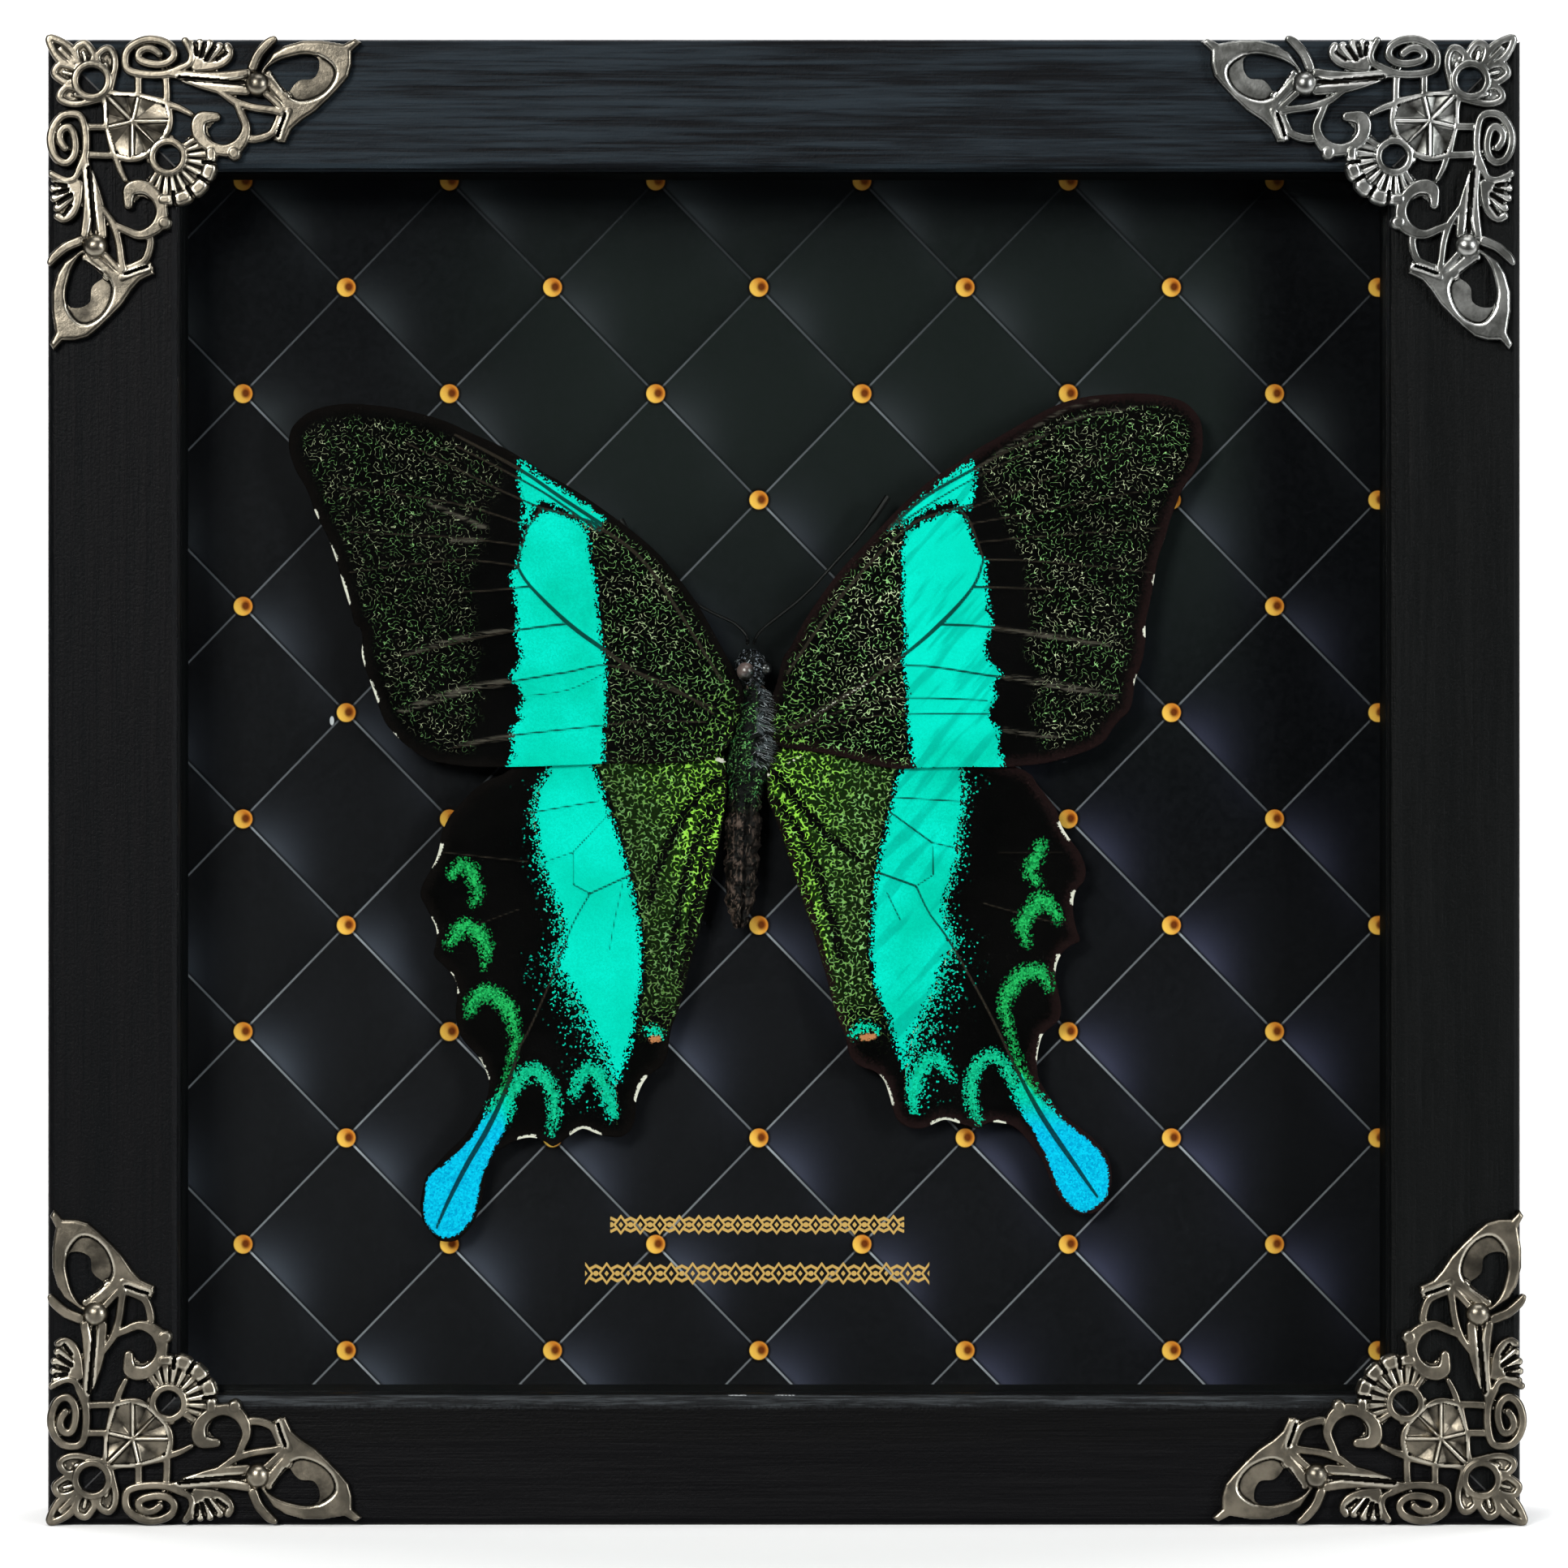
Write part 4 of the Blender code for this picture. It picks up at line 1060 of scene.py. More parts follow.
# Lunules: (route, half widths, hue from 0, green, through 1, turquoise, to 2, blue)
LEFT_LUNULES = [
    ([(555, 1078), (568, 1067), (580, 1072), (583, 1085), (588, 1100), (583, 1112)], [5, 8, 8, 8, 7, 5], 0.0),
    (
        [(553, 1163), (563, 1150), (576, 1142), (590, 1152), (599, 1168), (596, 1190)],
        [6, 9, 10, 10, 8, 4],
        0.05,
    ),
    (
        [
            (578, 1248), (586, 1230), (600, 1224), (616, 1232), (628, 1248), (634, 1270), (632, 1292),
            (627, 1315), (621, 1343), (606, 1366),
        ],
        [6, 9, 11, 10, 9, 7, 5, 4, 5, 7],
        0.15,
    ),
    (
        [(628, 1352), (640, 1330), (656, 1320), (670, 1328), (680, 1345), (684, 1368), (679, 1395)],
        [7, 9, 9, 9, 8, 7, 4],
        0.55,
    ),
    (
        [(706, 1350), (712, 1330), (726, 1318), (738, 1328), (747, 1348), (756, 1372)],
        [4, 7, 8, 7, 7, 4],
        0.65,
    ),
    ([(797, 1268), (806, 1272), (814, 1276)], [4, 7, 4], 0.9),
]
RIGHT_LUNULES = [
    ([(1283, 1042), (1276, 1058), (1270, 1075), (1280, 1088)], [7, 9, 8, 5], 0.0),
    (
        [(1304, 1134), (1295, 1117), (1282, 1110), (1270, 1124), (1259, 1142), (1267, 1162)],
        [5, 9, 10, 10, 9, 5],
        0.05,
    ),
    (
        [
            (1293, 1217), (1284, 1200), (1270, 1197), (1255, 1204), (1243, 1222), (1238, 1240), (1242, 1263),
            (1249, 1289), (1256, 1312), (1264, 1330), (1277, 1350),
        ],
        [5, 9, 10, 10, 9, 8, 5.5, 4, 4.5, 6, 7],
        0.15,
    ),
    (
        [
            (1206, 1382), (1198, 1361), (1197, 1335), (1204, 1314), (1216, 1303), (1228, 1302), (1240, 1316),
            (1251, 1335),
        ],
        [4, 7, 8, 8, 8, 8, 7, 7],
        0.55,
    ),
    (
        [(1128, 1368), (1125, 1350), (1132, 1325), (1142, 1309), (1152, 1304), (1164, 1313), (1173, 1328)],
        [4, 6, 7, 7, 7, 6, 4],
        0.7,
    ),
    ([(1051, 1276), (1058, 1268), (1068, 1265), (1079, 1270)], [3, 5, 5, 3], 0.9),
]
LEFT_TAIL = [
    (616, 1350), (598, 1374), (580, 1403), (552, 1431), (528, 1451), (522, 1479), (524, 1506), (540, 1524),
    (560, 1524), (578, 1506), (587, 1483), (593, 1451), (607, 1419), (622, 1391), (634, 1362), (626, 1348),
]
RIGHT_TAIL = [
    (1259, 1316), (1270, 1333), (1289, 1356), (1312, 1382), (1331, 1397), (1349, 1412), (1362, 1431),
    (1367, 1452), (1364, 1475), (1353, 1486), (1338, 1494), (1325, 1490), (1310, 1474), (1299, 1450),
    (1292, 1431), (1279, 1404), (1264, 1378), (1249, 1350), (1252, 1335),
]
LEFT_FRINGE = [
    [(387, 630), (390, 637)], [(404, 670), (413, 688)], [(418, 710), (424, 724), (428, 744)],
    [(440, 776), (443, 798), (447, 820)], [(455, 840), (464, 863)], [(484, 905), (488, 910)],
]
RIGHT_FRINGE = [
    [(1439, 664), (1437, 673)], [(1425, 710), (1423, 718)], [(1412, 774), (1412, 783)],
    [(1402, 833), (1400, 842)],
]
LEFT_HIND_FRINGE = [
    [(543, 1041), (538, 1055), (532, 1066)], [(531, 1133), (537, 1148)], [(555, 1201), (562, 1222)],
    [(590, 1305), (600, 1328)], [(704, 1398), (712, 1393), (722, 1391), (738, 1399)],
    [(640, 1404), (658, 1401)], [(784, 1356), (788, 1340), (795, 1328)],
]
RIGHT_HIND_FRINGE = [
    [(1306, 1015), (1317, 1033)], [(1323, 1100), (1322, 1112)], [(1305, 1178), (1302, 1195)],
    [(1284, 1277), (1279, 1305)], [(1150, 1385), (1165, 1380), (1180, 1383)], [(1228, 1383), (1238, 1385)],
    [(1085, 1327), (1093, 1342), (1099, 1360)],
]


def edge_at(edge, y):
    """The x of a marking's edge at each height in the photograph."""
    rows = sorted((py, px) for px, py in edge)
    return np.interp(y, [row[0] for row in rows], [row[1] for row in rows])


def strokes_at(grid, strokes, steps=4):
    """max over strokes of (half width - distance), with smooth routes."""
    best = np.full(len(grid), -1e9)
    for route, radii in strokes:
        gap, _ = near_stroke(grid, *smoothed(route, radii, steps))
        best = np.maximum(best, gap)
    return best


def wave(grid, length, seed):
    """A smooth made-up height field of about -1 to 1 from a few crossed sine waves."""
    rng = np.random.default_rng(seed)
    total = np.zeros(len(grid))
    for _ in range(7):
        turn, phase = rng.uniform(0, 2 * pi, 2)
        size = length * rng.uniform(0.6, 1.6)
        total += np.sin((grid[:, 0] * cos(turn) + grid[:, 1] * sin(turn)) * 2 * pi / size + phase)
    return total / 4


def fade(value, low, high):
    """0 below low, 1 above high, with a smooth step between."""
    t = np.clip((value - low) / (high - low), 0, 1)
    return t * t * (3 - 2 * t)


def wing_mesh(name, outline, height, root, side, parts):
    """A wing as a fine two-sided sheet with raised veins, and what its material needs at each point."""
    loop = catmull(outline, True, 3)
    low, high = loop.min(axis=0) - 2 * WING_STEP, loop.max(axis=0) + 2 * WING_STEP
    xs = np.arange(low[0], high[0] + WING_STEP, WING_STEP)
    ys = np.arange(low[1], high[1] + WING_STEP, WING_STEP)
    gx, gy = np.meshgrid(xs, ys, indexing="ij")
    grid = np.stack([gx.ravel(), gy.ravel()], axis=1)
    gap, nearest = signed_distance(grid, loop)
    outside = (gap <= 0)[:, None]
    used, quads = used_only(grid, grid_quads((gap > 0).reshape(gx.shape)))
    points = np.where(outside, nearest, grid)[used]
    margin = np.maximum(gap[used], 0)
    veins = strokes_at(points, parts["veins"])
    streaks = strokes_at(points, parts["streaks"]) if parts["streaks"] else np.full(len(points), FAR_OFF)
    outer_edge, inner_edge = parts["band"]
    beyond = side * (points[:, 0] - edge_at(outer_edge, points[:, 1]))
    before = side * (edge_at(inner_edge, points[:, 1]) - points[:, 0])
    band = np.minimum(-beyond, -before)
    bottom = min(outer_edge[-1][1], inner_edge[-1][1])
    band = np.minimum(band, np.minimum(bottom - points[:, 1], points[:, 1] - inner_edge[0][1]))
    for wedge in parts["wedge"]:
        band = np.maximum(band, signed_distance(points, np.array(wedge, float))[0])

    scale = photo_scale(SHEET_DEPTH - height)
    away = np.hypot(*(points - np.array(root, float)).T) * scale
    lift = height - WING_DROOP * away
    ridge = np.clip(veins / 1.6 + 1, 0, 1) * VEIN_RISE + np.clip(streaks / 3 + 1, 0, 1) * STREAK_RISE
    ripple = wave(points, 130, len(name)) * RIPPLE * fade(margin, 0, 60) + wave(points, 46, 3) * FINE_RIPPLE
    curl = (1 - fade(margin, 0, 24)) * wave(points, 60, 8) * EDGE_CURL
    lift = lift + (ridge + ripple + curl) * MM
    place = to_place(points, SHEET_DEPTH - height)
    count = len(points)
    front = np.stack([place[:, 0], SHEET_Y - lift - WING_THICKNESS / 2, place[:, 1]], axis=1)
    back = front + (0, WING_THICKNESS, 0)
    edges = border_edges(quads)
    faces = np.concatenate([quads, quads[:, ::-1] + count, wall_quads(edges, edges + count)])
    made = fast_mesh(name + "_scales", np.concatenate([front, back]), faces, parts["finish"])

    attributes = parts["regions"](points, beyond, before, margin, side)
    attributes.update(band=band, vein=veins, streak=streaks, margin=margin)
    fringe = strokes_at(points, [(route, FRINGE_HALF_WIDTH) for route in parts["fringe"]], 2)
    # The fringe values also carry the painted glints.
    attributes["fringe"] = np.maximum(fringe, strokes_at(points, GLINTS))
    attributes["amber"] = strokes_at(points, AMBER_SPOTS)
    spots, hue = np.full(count, FAR_OFF), np.zeros(count)
    for route, widths, tone in parts["lunules"]:
        gap = strokes_at(points, [(route, widths)])
        hue = np.where(gap > spots, tone, hue)
        spots = np.maximum(spots, gap)
    if parts["tail"]:
        gap, _ = signed_distance(points, catmull(parts["tail"], True, 3))
        hue = np.where(gap > spots, TAIL_HUE, hue)
        spots = np.maximum(spots, gap)
        far_out = fade(abs(points[:, 0] - root[0]), *BLUE_DISTANCES)
        hue = hue + fade(points[:, 1], *BLUE_ROWS) * (2 - hue) * far_out
    attributes["spot"], attributes["hue"] = spots, hue
    for key, values in attributes.items():
        add_attribute(made, key, np.tile(values, 2))
    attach(made, "root")
    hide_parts(name)


# Rows and columns of the photograph where the dust of the wings changes
COSTA_END = 880
LEFT_BASE, RIGHT_BASE = 905, 952
TIP_TOP = 640
YELLOW_ROWS = (800, 930)
THIN_ROWS = (1120, 1290)
BARE_ROWS = (1230, 1290)
PLAIN_ROWS = (1060, 1250)
SPRAY_ROWS = (1080, 1250)
SPRAY_TOP = 990
RAGGED_ROWS = (1060, 1240)
RAGGED_END = (1240, 1300)


def forewing_regions(points, beyond, before, margin, side):
    """Where green dust lies on a forewing, how dense it is and how yellow."""
    x, y = points.T
    rear = fade(margin, 0, 3) if side < 0 else fade(margin, 3, 9)
    costal = np.where(y < COSTA_END, fade(margin, 4, 16), rear)
    basal = fade(before, 0, 6) * (0.42 + 0.12 * wave(points, 90, 21)) * costal
    near_body = fade(-side * (x - (LEFT_BASE if side < 0 else RIGHT_BASE)) / 60 + 2.4, 0, 2.4)
    basal = np.maximum(basal, basal * 1.5 * near_body)
    tip = fade(beyond, 34, 66) * 0.2 * fade(margin, 8, 24)
    tip = tip * (0.85 + 0.3 * wave(points, 160, 5))
    upper = fade(TIP_TOP - y, 0, 60) * fade(beyond, -30, 10)
    tip = np.maximum(tip, upper * 0.2 * fade(margin, 10, 26) * fade(beyond, 20, 45))
    dust = np.where(beyond > 0, tip, basal)
    warm = np.where(beyond > 0, -0.12, -0.02 + 0.4 * near_body + 0.25 * fade(y, *YELLOW_ROWS))
    return {"dust": dust, "warm": warm, "ragged": np.where(beyond > before, 5.0, 4.0)}


def hindwing_regions(points, beyond, before, margin, side):
    """The same for a hindwing, whose inner part is the greenest."""
    y = points[:, 1]
    basal = fade(before, 0, 8) * (0.8 - 0.1 * fade(y, *THIN_ROWS)) * (1 - 0.95 * fade(y, *BARE_ROWS))
    basal *= fade(margin, 0, 5)
    folds = strokes_at(points, LEFT_FOLDS if side < 0 else RIGHT_FOLDS)
    bright = strokes_at(points, LEFT_GOLD if side < 0 else RIGHT_GOLD)
    basal *= 1 - 0.85 * fade(folds, -5, 2)
    basal = basal * (1 + 0.5 * fade(bright, -5, 4))
    near_body = fade(before, 10, 130) * (1 - 0.6 * fade(y, *PLAIN_ROWS)) + 0.6 * fade(bright, -8, 5)
    spray = np.exp(-np.clip(beyond, 0, 200) / (7 + 12 * fade(y, *SPRAY_ROWS))) * 0.75 * (beyond > 0)
    top = fade(SPRAY_TOP - y, 0, 30) * fade(beyond, -10, 20) * 0.05
    dust = np.where(beyond > 0, np.maximum(spray, top) * fade(margin, 10, 30), basal)
    warm = np.where(beyond > 0, -0.6, 0.42 + 0.42 * near_body)
    ragged = 5.0 + 3.2 * fade(y, *RAGGED_ROWS) * (beyond > before) + 2 * fade(y, *RAGGED_END)
    return {"dust": dust, "warm": warm, "ragged": ragged}


SCALE_SIZE = 0.21 * MM
DUST_SIZE = 0.56 * MM
CURL_WIDTH = 0.085
# Where the right wings start, where the forewings start, and where the painted shade of the right wings'
# wrinkles starts
RIGHT_WINGS = (-0.004, 0.006)
UPPER_WINGS = (0.094, 0.098)
SHADED_WRINKLES = (0.005, 0.015)


def wing_material():
    made, t, shader = node_material("wing_scales", (0.01, 0.01, 0.01), 0.62, specular=0.012)
    place = t.position()
    flat = t.scaled(place, (1, 0, 1))
    pick, tone, _ = t.cells(flat, 1 / SCALE_SIZE)
    _, tint, _ = t.cells(t.scaled(place, (1, 0, 0.75)), 0.8 / SCALE_SIZE)
    drift = t.noise(flat, 900, 2, 0.5, 1.0)
    band, spot, ragged = t.attribute("band"), t.attribute("spot"), t.attribute("ragged")
    hue, warmth = t.attribute("hue"), t.attribute("warm")
    in_band = t.ramp(band - 1.5 + (pick - 0.5) * ragged * 2.0 + (drift - 0.5) * 6, -0.6, 0.6)
    loose = 1.0 - t.ramp(hue, 1.2, 1.7) * 0.75
    in_spot = t.ramp(spot + ((pick - 0.55) * 12.0 + (drift - 0.5) * 4) * loose, -0.6, 0.6)
    amount = t.attribute("dust")
    curls = t.noise(t.scaled(place, (1, 0, 1.1)), 1 / DUST_SIZE, 0, 0.4, 5.0)
    on_forewing = t.ramp(warmth, 0.46, 0.36)
    width = amount * CURL_WIDTH * (0.55 + drift * 0.9) * (1.0 - on_forewing * 0.16)
    curls = t.ramp(width - abs(curls - 0.5), -0.006, 0.008) * t.ramp(amount, 0.02, 0.12)
    grains = t.ramp(amount * (0.35 + drift * 0.6) - pick * 0.9, 0.0, 0.05)
    dusted = t.mix(t.ramp(warmth, -0.35, -0.45), curls, grains)
    warm = warmth + (tint - 0.5) * 0.35

    cloud = t.noise(flat, 90, 3, 0.5, 2.0)
    velvet = t.blend(t.ramp(cloud, 0.3, 0.7), linear(3, 3, 3), linear(8, 7, 7))
    rim = t.ramp(t.attribute("margin") + (pick - 0.5) * 8, 16, 3)
    x, _, z = t.xyz(place)
    right = t.ramp(x, *RIGHT_WINGS)
    velvet = t.blend(rim, velvet, t.blend(right, linear(13, 10, 9), linear(30, 18, 18)))
    greened = t.ramp(amount, 0.5, 0.9) * t.ramp(warmth, 0.3, 0.5)
    velvet = t.blend(greened * 0.9, velvet, linear(24, 42, 12))
    spark = t.ramp(t.noise(flat, 1600, 2, 0.5, 7.0), 0.40, 0.56)
    cool = t.blend(spark, linear(14, 26, 14), linear(244, 252, 206))
    fresh = t.blend(spark, linear(8, 34, 12), linear(124, 208, 112))
    patches = t.noise(flat, 520, 1, 0.5, 8.0)
    cool = t.blend(t.ramp(patches, 0.44, 0.54) * 0.75, cool, fresh)
    leaf = t.blend(spark, linear(6, 28, 10), linear(116, 160, 88))
    leaf = t.blend(t.ramp(patches, 0.52, 0.6) * 0.5, leaf, cool)
    gold = t.blend(spark, linear(22, 60, 10), linear(166, 230, 80))
    dust = t.blend(t.ramp(warm, -0.2, 0.45), cool, leaf)
    dust = t.blend(t.ramp(warm, 0.45, 1.0), dust, gold)
    dust = t.blend((1.0 - right) * t.ramp(warm, 0.75, 0.4) * 0.36, dust, linear(8, 22, 8))
    cyan_dust = t.ramp(warm, -0.35, -0.45)
    dust = t.blend(cyan_dust, dust, linear(10, 190, 160))
    colour = t.blend(dusted, velvet, dust)

    shade = t.ramp(t.noise(flat, 130, 3, 0.5, 4.0), 0.25, 0.75)
    turquoise = t.blend(shade, linear(0, 208, 178), linear(4, 238, 214))
    turquoise = t.blend(t.ramp(tone, 0.0, 1.0) * 0.35, turquoise, linear(0, 180, 158))
    above = t.ramp(z, *UPPER_WINGS)
    bright = t.math("MAXIMUM", right * above, (1.0 - right) * (1.0 - above) * 0.4)
    turquoise = t.blend(bright * 0.4, turquoise, linear(4, 246, 222))
    # Painted shade: darker diagonal lines in the right wings' bands where they are wrinkled.
    slant = t.vector((x * 0.75 - z * 0.66) * 620, 0.0, (x * 0.66 + z * 0.75) * 80)
    wrinkle_shade = t.ramp(t.noise(slant, 1.0, 2, 0.5), 0.50, 0.62) * t.ramp(x, *SHADED_WRINKLES)
    turquoise = t.blend(wrinkle_shade * 0.5, turquoise, linear(0, 160, 140))
    colour = t.blend(in_band, colour, turquoise)

    green = t.blend(tone, linear(4, 104, 48), linear(44, 200, 104))
    teal = t.blend(tone, linear(0, 170, 130), linear(4, 222, 186))
    blue = t.blend(tone, linear(0, 160, 212), linear(6, 214, 252))
    green = t.blend(t.ramp(spot + (tone - 0.5) * 4, 6.0, 0.5) * 0.5, green, linear(2, 62, 26))
    marks = t.blend(t.ramp(hue, 0.1, 0.9), green, teal)
    marks = t.blend(t.ramp(hue, 1.0, 1.9), marks, blue)
    colour = t.blend(in_spot, colour, marks)

    on_vein = t.ramp(t.attribute("vein"), -0.9, 0.5)
    vein_tone = t.blend(t.math("MAXIMUM", in_band, in_spot), linear(46, 40, 34), linear(8, 26, 26))
    colour = t.blend(on_vein * 0.92, colour, vein_tone)
    hairs = t.noise(t.scaled(place, (500, 1, 3800)), 1.0, 2, 0.6, 6.0)
    on_streak = t.ramp(t.attribute("streak"), -3.0, 2.0) * t.ramp(hairs, 0.4, 0.62)
    colour = t.blend(on_streak * 0.85, colour, linear(84, 78, 70))
    amber = t.ramp(t.attribute("amber") + (pick - 0.5) * 3.0, -1.0, 1.0)
    colour = t.blend(amber, colour, linear(196, 128, 84))
    # The white fringe, with the painted glints beside the body.
    fringe_and_glints = t.ramp(t.attribute("fringe") + (pick - 0.5) * 2.0, -0.4, 0.8)
    colour = t.blend(fringe_and_glints, colour, linear(232, 226, 212))
    t.link(t.scaled(colour, BEHIND_GLASS), shader.inputs["Base Color"])
    t.link(t.bump(tone * 0.6 + drift, 0.00006, 0.5), shader.inputs["Normal"])
    return made


# Wings: name, outline, height, root, side, then the markings
WINGS = (
    (
        "forewing_left", LEFT_FOREWING, FOREWING_HEIGHT, LEFT_FORE_ROOT, -1,
        {
            "band": LEFT_FOREWING_BAND, "wedge": (LEFT_WEDGE, LEFT_CAP), "veins": LEFT_FOREWING_VEINS,
            "streaks": LEFT_STREAKS, "fringe": LEFT_FRINGE, "regions": forewing_regions,
        },
    ),
    (
        "forewing_right", RIGHT_FOREWING, FOREWING_HEIGHT, RIGHT_FORE_ROOT, 1,
        {
            "band": RIGHT_FOREWING_BAND, "wedge": (RIGHT_WEDGE, RIGHT_CAP), "veins": RIGHT_FOREWING_VEINS,
            "streaks": RIGHT_STREAKS, "fringe": RIGHT_FRINGE, "regions": forewing_regions,
        },
    ),
    (
        "hindwing_left", LEFT_HINDWING, HINDWING_HEIGHT, LEFT_HIND_ROOT, -1,
        {
            "band": LEFT_HINDWING_BAND, "veins": LEFT_HINDWING_VEINS, "fringe": LEFT_HIND_FRINGE,
            "lunules": LEFT_LUNULES, "tail": LEFT_TAIL, "regions": hindwing_regions,
        },
    ),
    (
        "hindwing_right", RIGHT_HINDWING, HINDWING_HEIGHT, RIGHT_HIND_ROOT, 1,
        {
            "band": RIGHT_HINDWING_BAND, "veins": RIGHT_HINDWING_VEINS, "fringe": RIGHT_HIND_FRINGE,
            "lunules": RIGHT_LUNULES, "tail": RIGHT_TAIL, "regions": hindwing_regions,
        },
    ),
)


def add_wings():
    shared = {"finish": wing_material(), "wedge": (), "tail": None, "streaks": None, "lunules": []}
    for *place, parts in WINGS:
        wing_mesh(*place, {**shared, **parts})


# Body: sections from head to tail as in the CAD, each with its middle and half width in pixels,
# then its half depth and height above the sheet in millimetres.

BODY_SECTIONS = [
    (924, 799, 5, 0.6, 4.6), (924, 803, 13, 1.3, 4.6), (924, 812, 18, 1.9, 4.5), (925, 824, 19, 2.1, 4.4),
    (926, 836, 15, 1.8, 4.3), (929, 844, 12, 1.6, 4.1), (930, 853, 16, 2.4, 3.9), (930, 870, 21, 3.1, 3.8),
    (929, 895, 24, 3.4, 3.8), (925, 925, 28, 3.4, 3.7), (921, 950, 27, 2.9, 3.5), (919, 968, 23, 2.3, 3.4),
    (918, 985, 21, 2.4, 3.3), (916, 1015, 23, 2.6, 3.2), (914, 1050, 22, 2.4, 3.1), (913, 1085, 21, 2.2, 3.0),
    (912, 1112, 18, 1.9, 2.9), (911, 1132, 12, 1.3, 2.8), (911, 1145, 4, 0.5, 2.8),
]
BODY_SIDES = 96
BODY_ROWS = 260
BODY_HEIGHT = 4 * MM
# Rows of the photograph where the abdomen starts, the pitch of its rings, and the fold along it
ABDOMEN_START = 985
RING_PITCH = 24
RING_RISE = 0.10
FOLD_DEPTH, FOLD_ACROSS, FOLD_WIDTH = 0.55, 0.22, 0.13
# Rows between which the looks of head, thorax and abdomen change
HEAD_ROWS = (850, 838)
GREY_SIDE_ROWS = (956, 930)
ABDOMEN_ROWS = (984, 1004)
# Eyes: the middle and radius in pixels, height above the sheet in millimetres; then a point between the two
EYES = ((919, 827, 11.2, 5.9), (943, 824, 8.0, 5.1))
BETWEEN_EYES = (931, 826)
EYE_SIDES, EYE_ROWS = 32, 16
# Hairs: how many are drawn before most are left out, and the rows that bound head and thorax
HAIR_COUNT = 5200
HEAD_END = 842
THORAX_START, THORAX_END = 848, 978
GREY_HAIR_END = 945


def body_points(row, turn, proud):
    """World points on the body, proud of it by some millimetres, and their rows in the photograph."""
    sections = np.array(BODY_SECTIONS)
    lengths = (sections[:, 1] - sections[0, 1]) / (sections[-1, 1] - sections[0, 1])
    px, py, half_width, half_depth, height = (np.interp(row, lengths, sections[:, k]) for k in range(5))
    scale = photo_scale(SHEET_DEPTH - BODY_HEIGHT)
    wide = half_width * scale + proud * MM
    deep = (half_depth + proud) * MM
    x = (px - PHOTO_MIDDLE[0]) * scale + wide * np.cos(turn)
    y = SHEET_Y - height * MM - deep * np.sin(turn)
    z = FRAME_HEIGHT / 2 - (py - PHOTO_MIDDLE[1]) * scale
    return np.stack([x, y, z], axis=1), py


def add_body():
    rows = np.linspace(0.003, 0.997, BODY_ROWS)
    turns = np.linspace(0, 2 * pi, BODY_SIDES, endpoint=False)
    row, turn = (a.ravel() for a in np.meshgrid(rows, turns, indexing="ij"))
    flat = np.stack([np.cos(turn) * 25 + 7 * np.sin(row * 40), row * 340], axis=1)
    _, py = body_points(row, turn, 0.0)
    on_abdomen = py > ABDOMEN_START
    rings = np.where(on_abdomen, RING_RISE * np.sin((py - ABDOMEN_START) * 2 * pi / RING_PITCH), 0)
    from_fold = (np.cos(turn) - FOLD_ACROSS) / FOLD_WIDTH
    fold = np.where(on_abdomen, -FOLD_DEPTH * np.exp(-(from_fold**2)) * (np.sin(turn) > 0), 0)
    rough = 0.16 * wave(flat, 14, 11) + 0.12 * wave(flat, 6, 12) + rings + fold - 0.08
    verts, py = body_points(row, turn, rough)
    count = BODY_SIDES
    i, j = (a.ravel() for a in np.meshgrid(np.arange(BODY_ROWS - 1), np.arange(count), indexing="ij"))
    k = (j + 1) % count
    quads = np.stack([i * count + j, (i + 1) * count + j, (i + 1) * count + k, i * count + k], axis=1)
    made = fast_mesh("body_cuticle", verts, quads[:, ::-1], body_material())
    add_attribute(made, "along", py)
    add_attribute(made, "across", np.cos(turn))
    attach(made, "root")
    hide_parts("body")
    add_hairs()
    add_eyes()


def body_material():
    made, t, shader = node_material("cuticle_and_scales", (0.01, 0.01, 0.01), 0.6, specular=0.08)
    place = t.position()
    along, across = t.attribute("along"), t.attribute("across")
    patch = t.noise(place, 700, 3, 0.6, 1.0)
    fine = t.noise(place, 3500, 2, 0.6, 2.0)
    abdomen = t.ramp(along + (patch - 0.5) * 40, *ABDOMEN_ROWS)
    curls = abs(t.noise(place, 1 / DUST_SIZE, 1, 0.4, 5.0) - 0.5)
    scales = t.ramp(curls, 0.055, 0.035) * t.ramp(patch, 0.44, 0.54)
    thorax = t.blend(t.ramp(fine, 0.42, 0.66), linear(10, 34, 14), linear(132, 196, 116))
    thorax = t.blend(scales, linear(3, 4, 4), thorax)
    side = t.ramp(across + (patch - 0.5) * 0.9, 0.1, 0.3) * t.ramp(along, *GREY_SIDE_ROWS)
    side_tone = t.blend(t.ramp(patch, 0.5, 0.6), linear(4, 4, 5), linear(70, 76, 80))
    thorax = t.blend(side, thorax, side_tone)
    head_tone = t.blend(t.ramp(fine, 0.56, 0.64), linear(3, 3, 4), linear(120, 124, 134))
    thorax = t.blend(t.ramp(along, *HEAD_ROWS), thorax, head_tone)
    # Painted shade: a dark line along the fold of the abdomen.
    line = t.ramp(abs(across - FOLD_ACROSS), 0.2, 0.06)
    ribs = t.noise(t.scaled(place, (2600, 2600, 500)), 1.0, 3, 0.6, 5.0)
    brown = t.blend(t.ramp(ribs * 0.6 + patch * 0.4, 0.49, 0.62), linear(10, 8, 7), linear(98, 80, 72))
    brown = t.blend(t.ramp(across, 0.25, 0.45) * 0.6, brown, linear(20, 16, 14))
    brown = t.blend(line * 0.9, brown, linear(4, 3, 3))
    t.link(t.scaled(t.blend(abdomen, thorax, brown), BEHIND_GLASS), shader.inputs["Base Color"])
    t.link(t.bump(patch + fine * 0.5, 0.0002, 0.7), shader.inputs["Normal"])
    return made


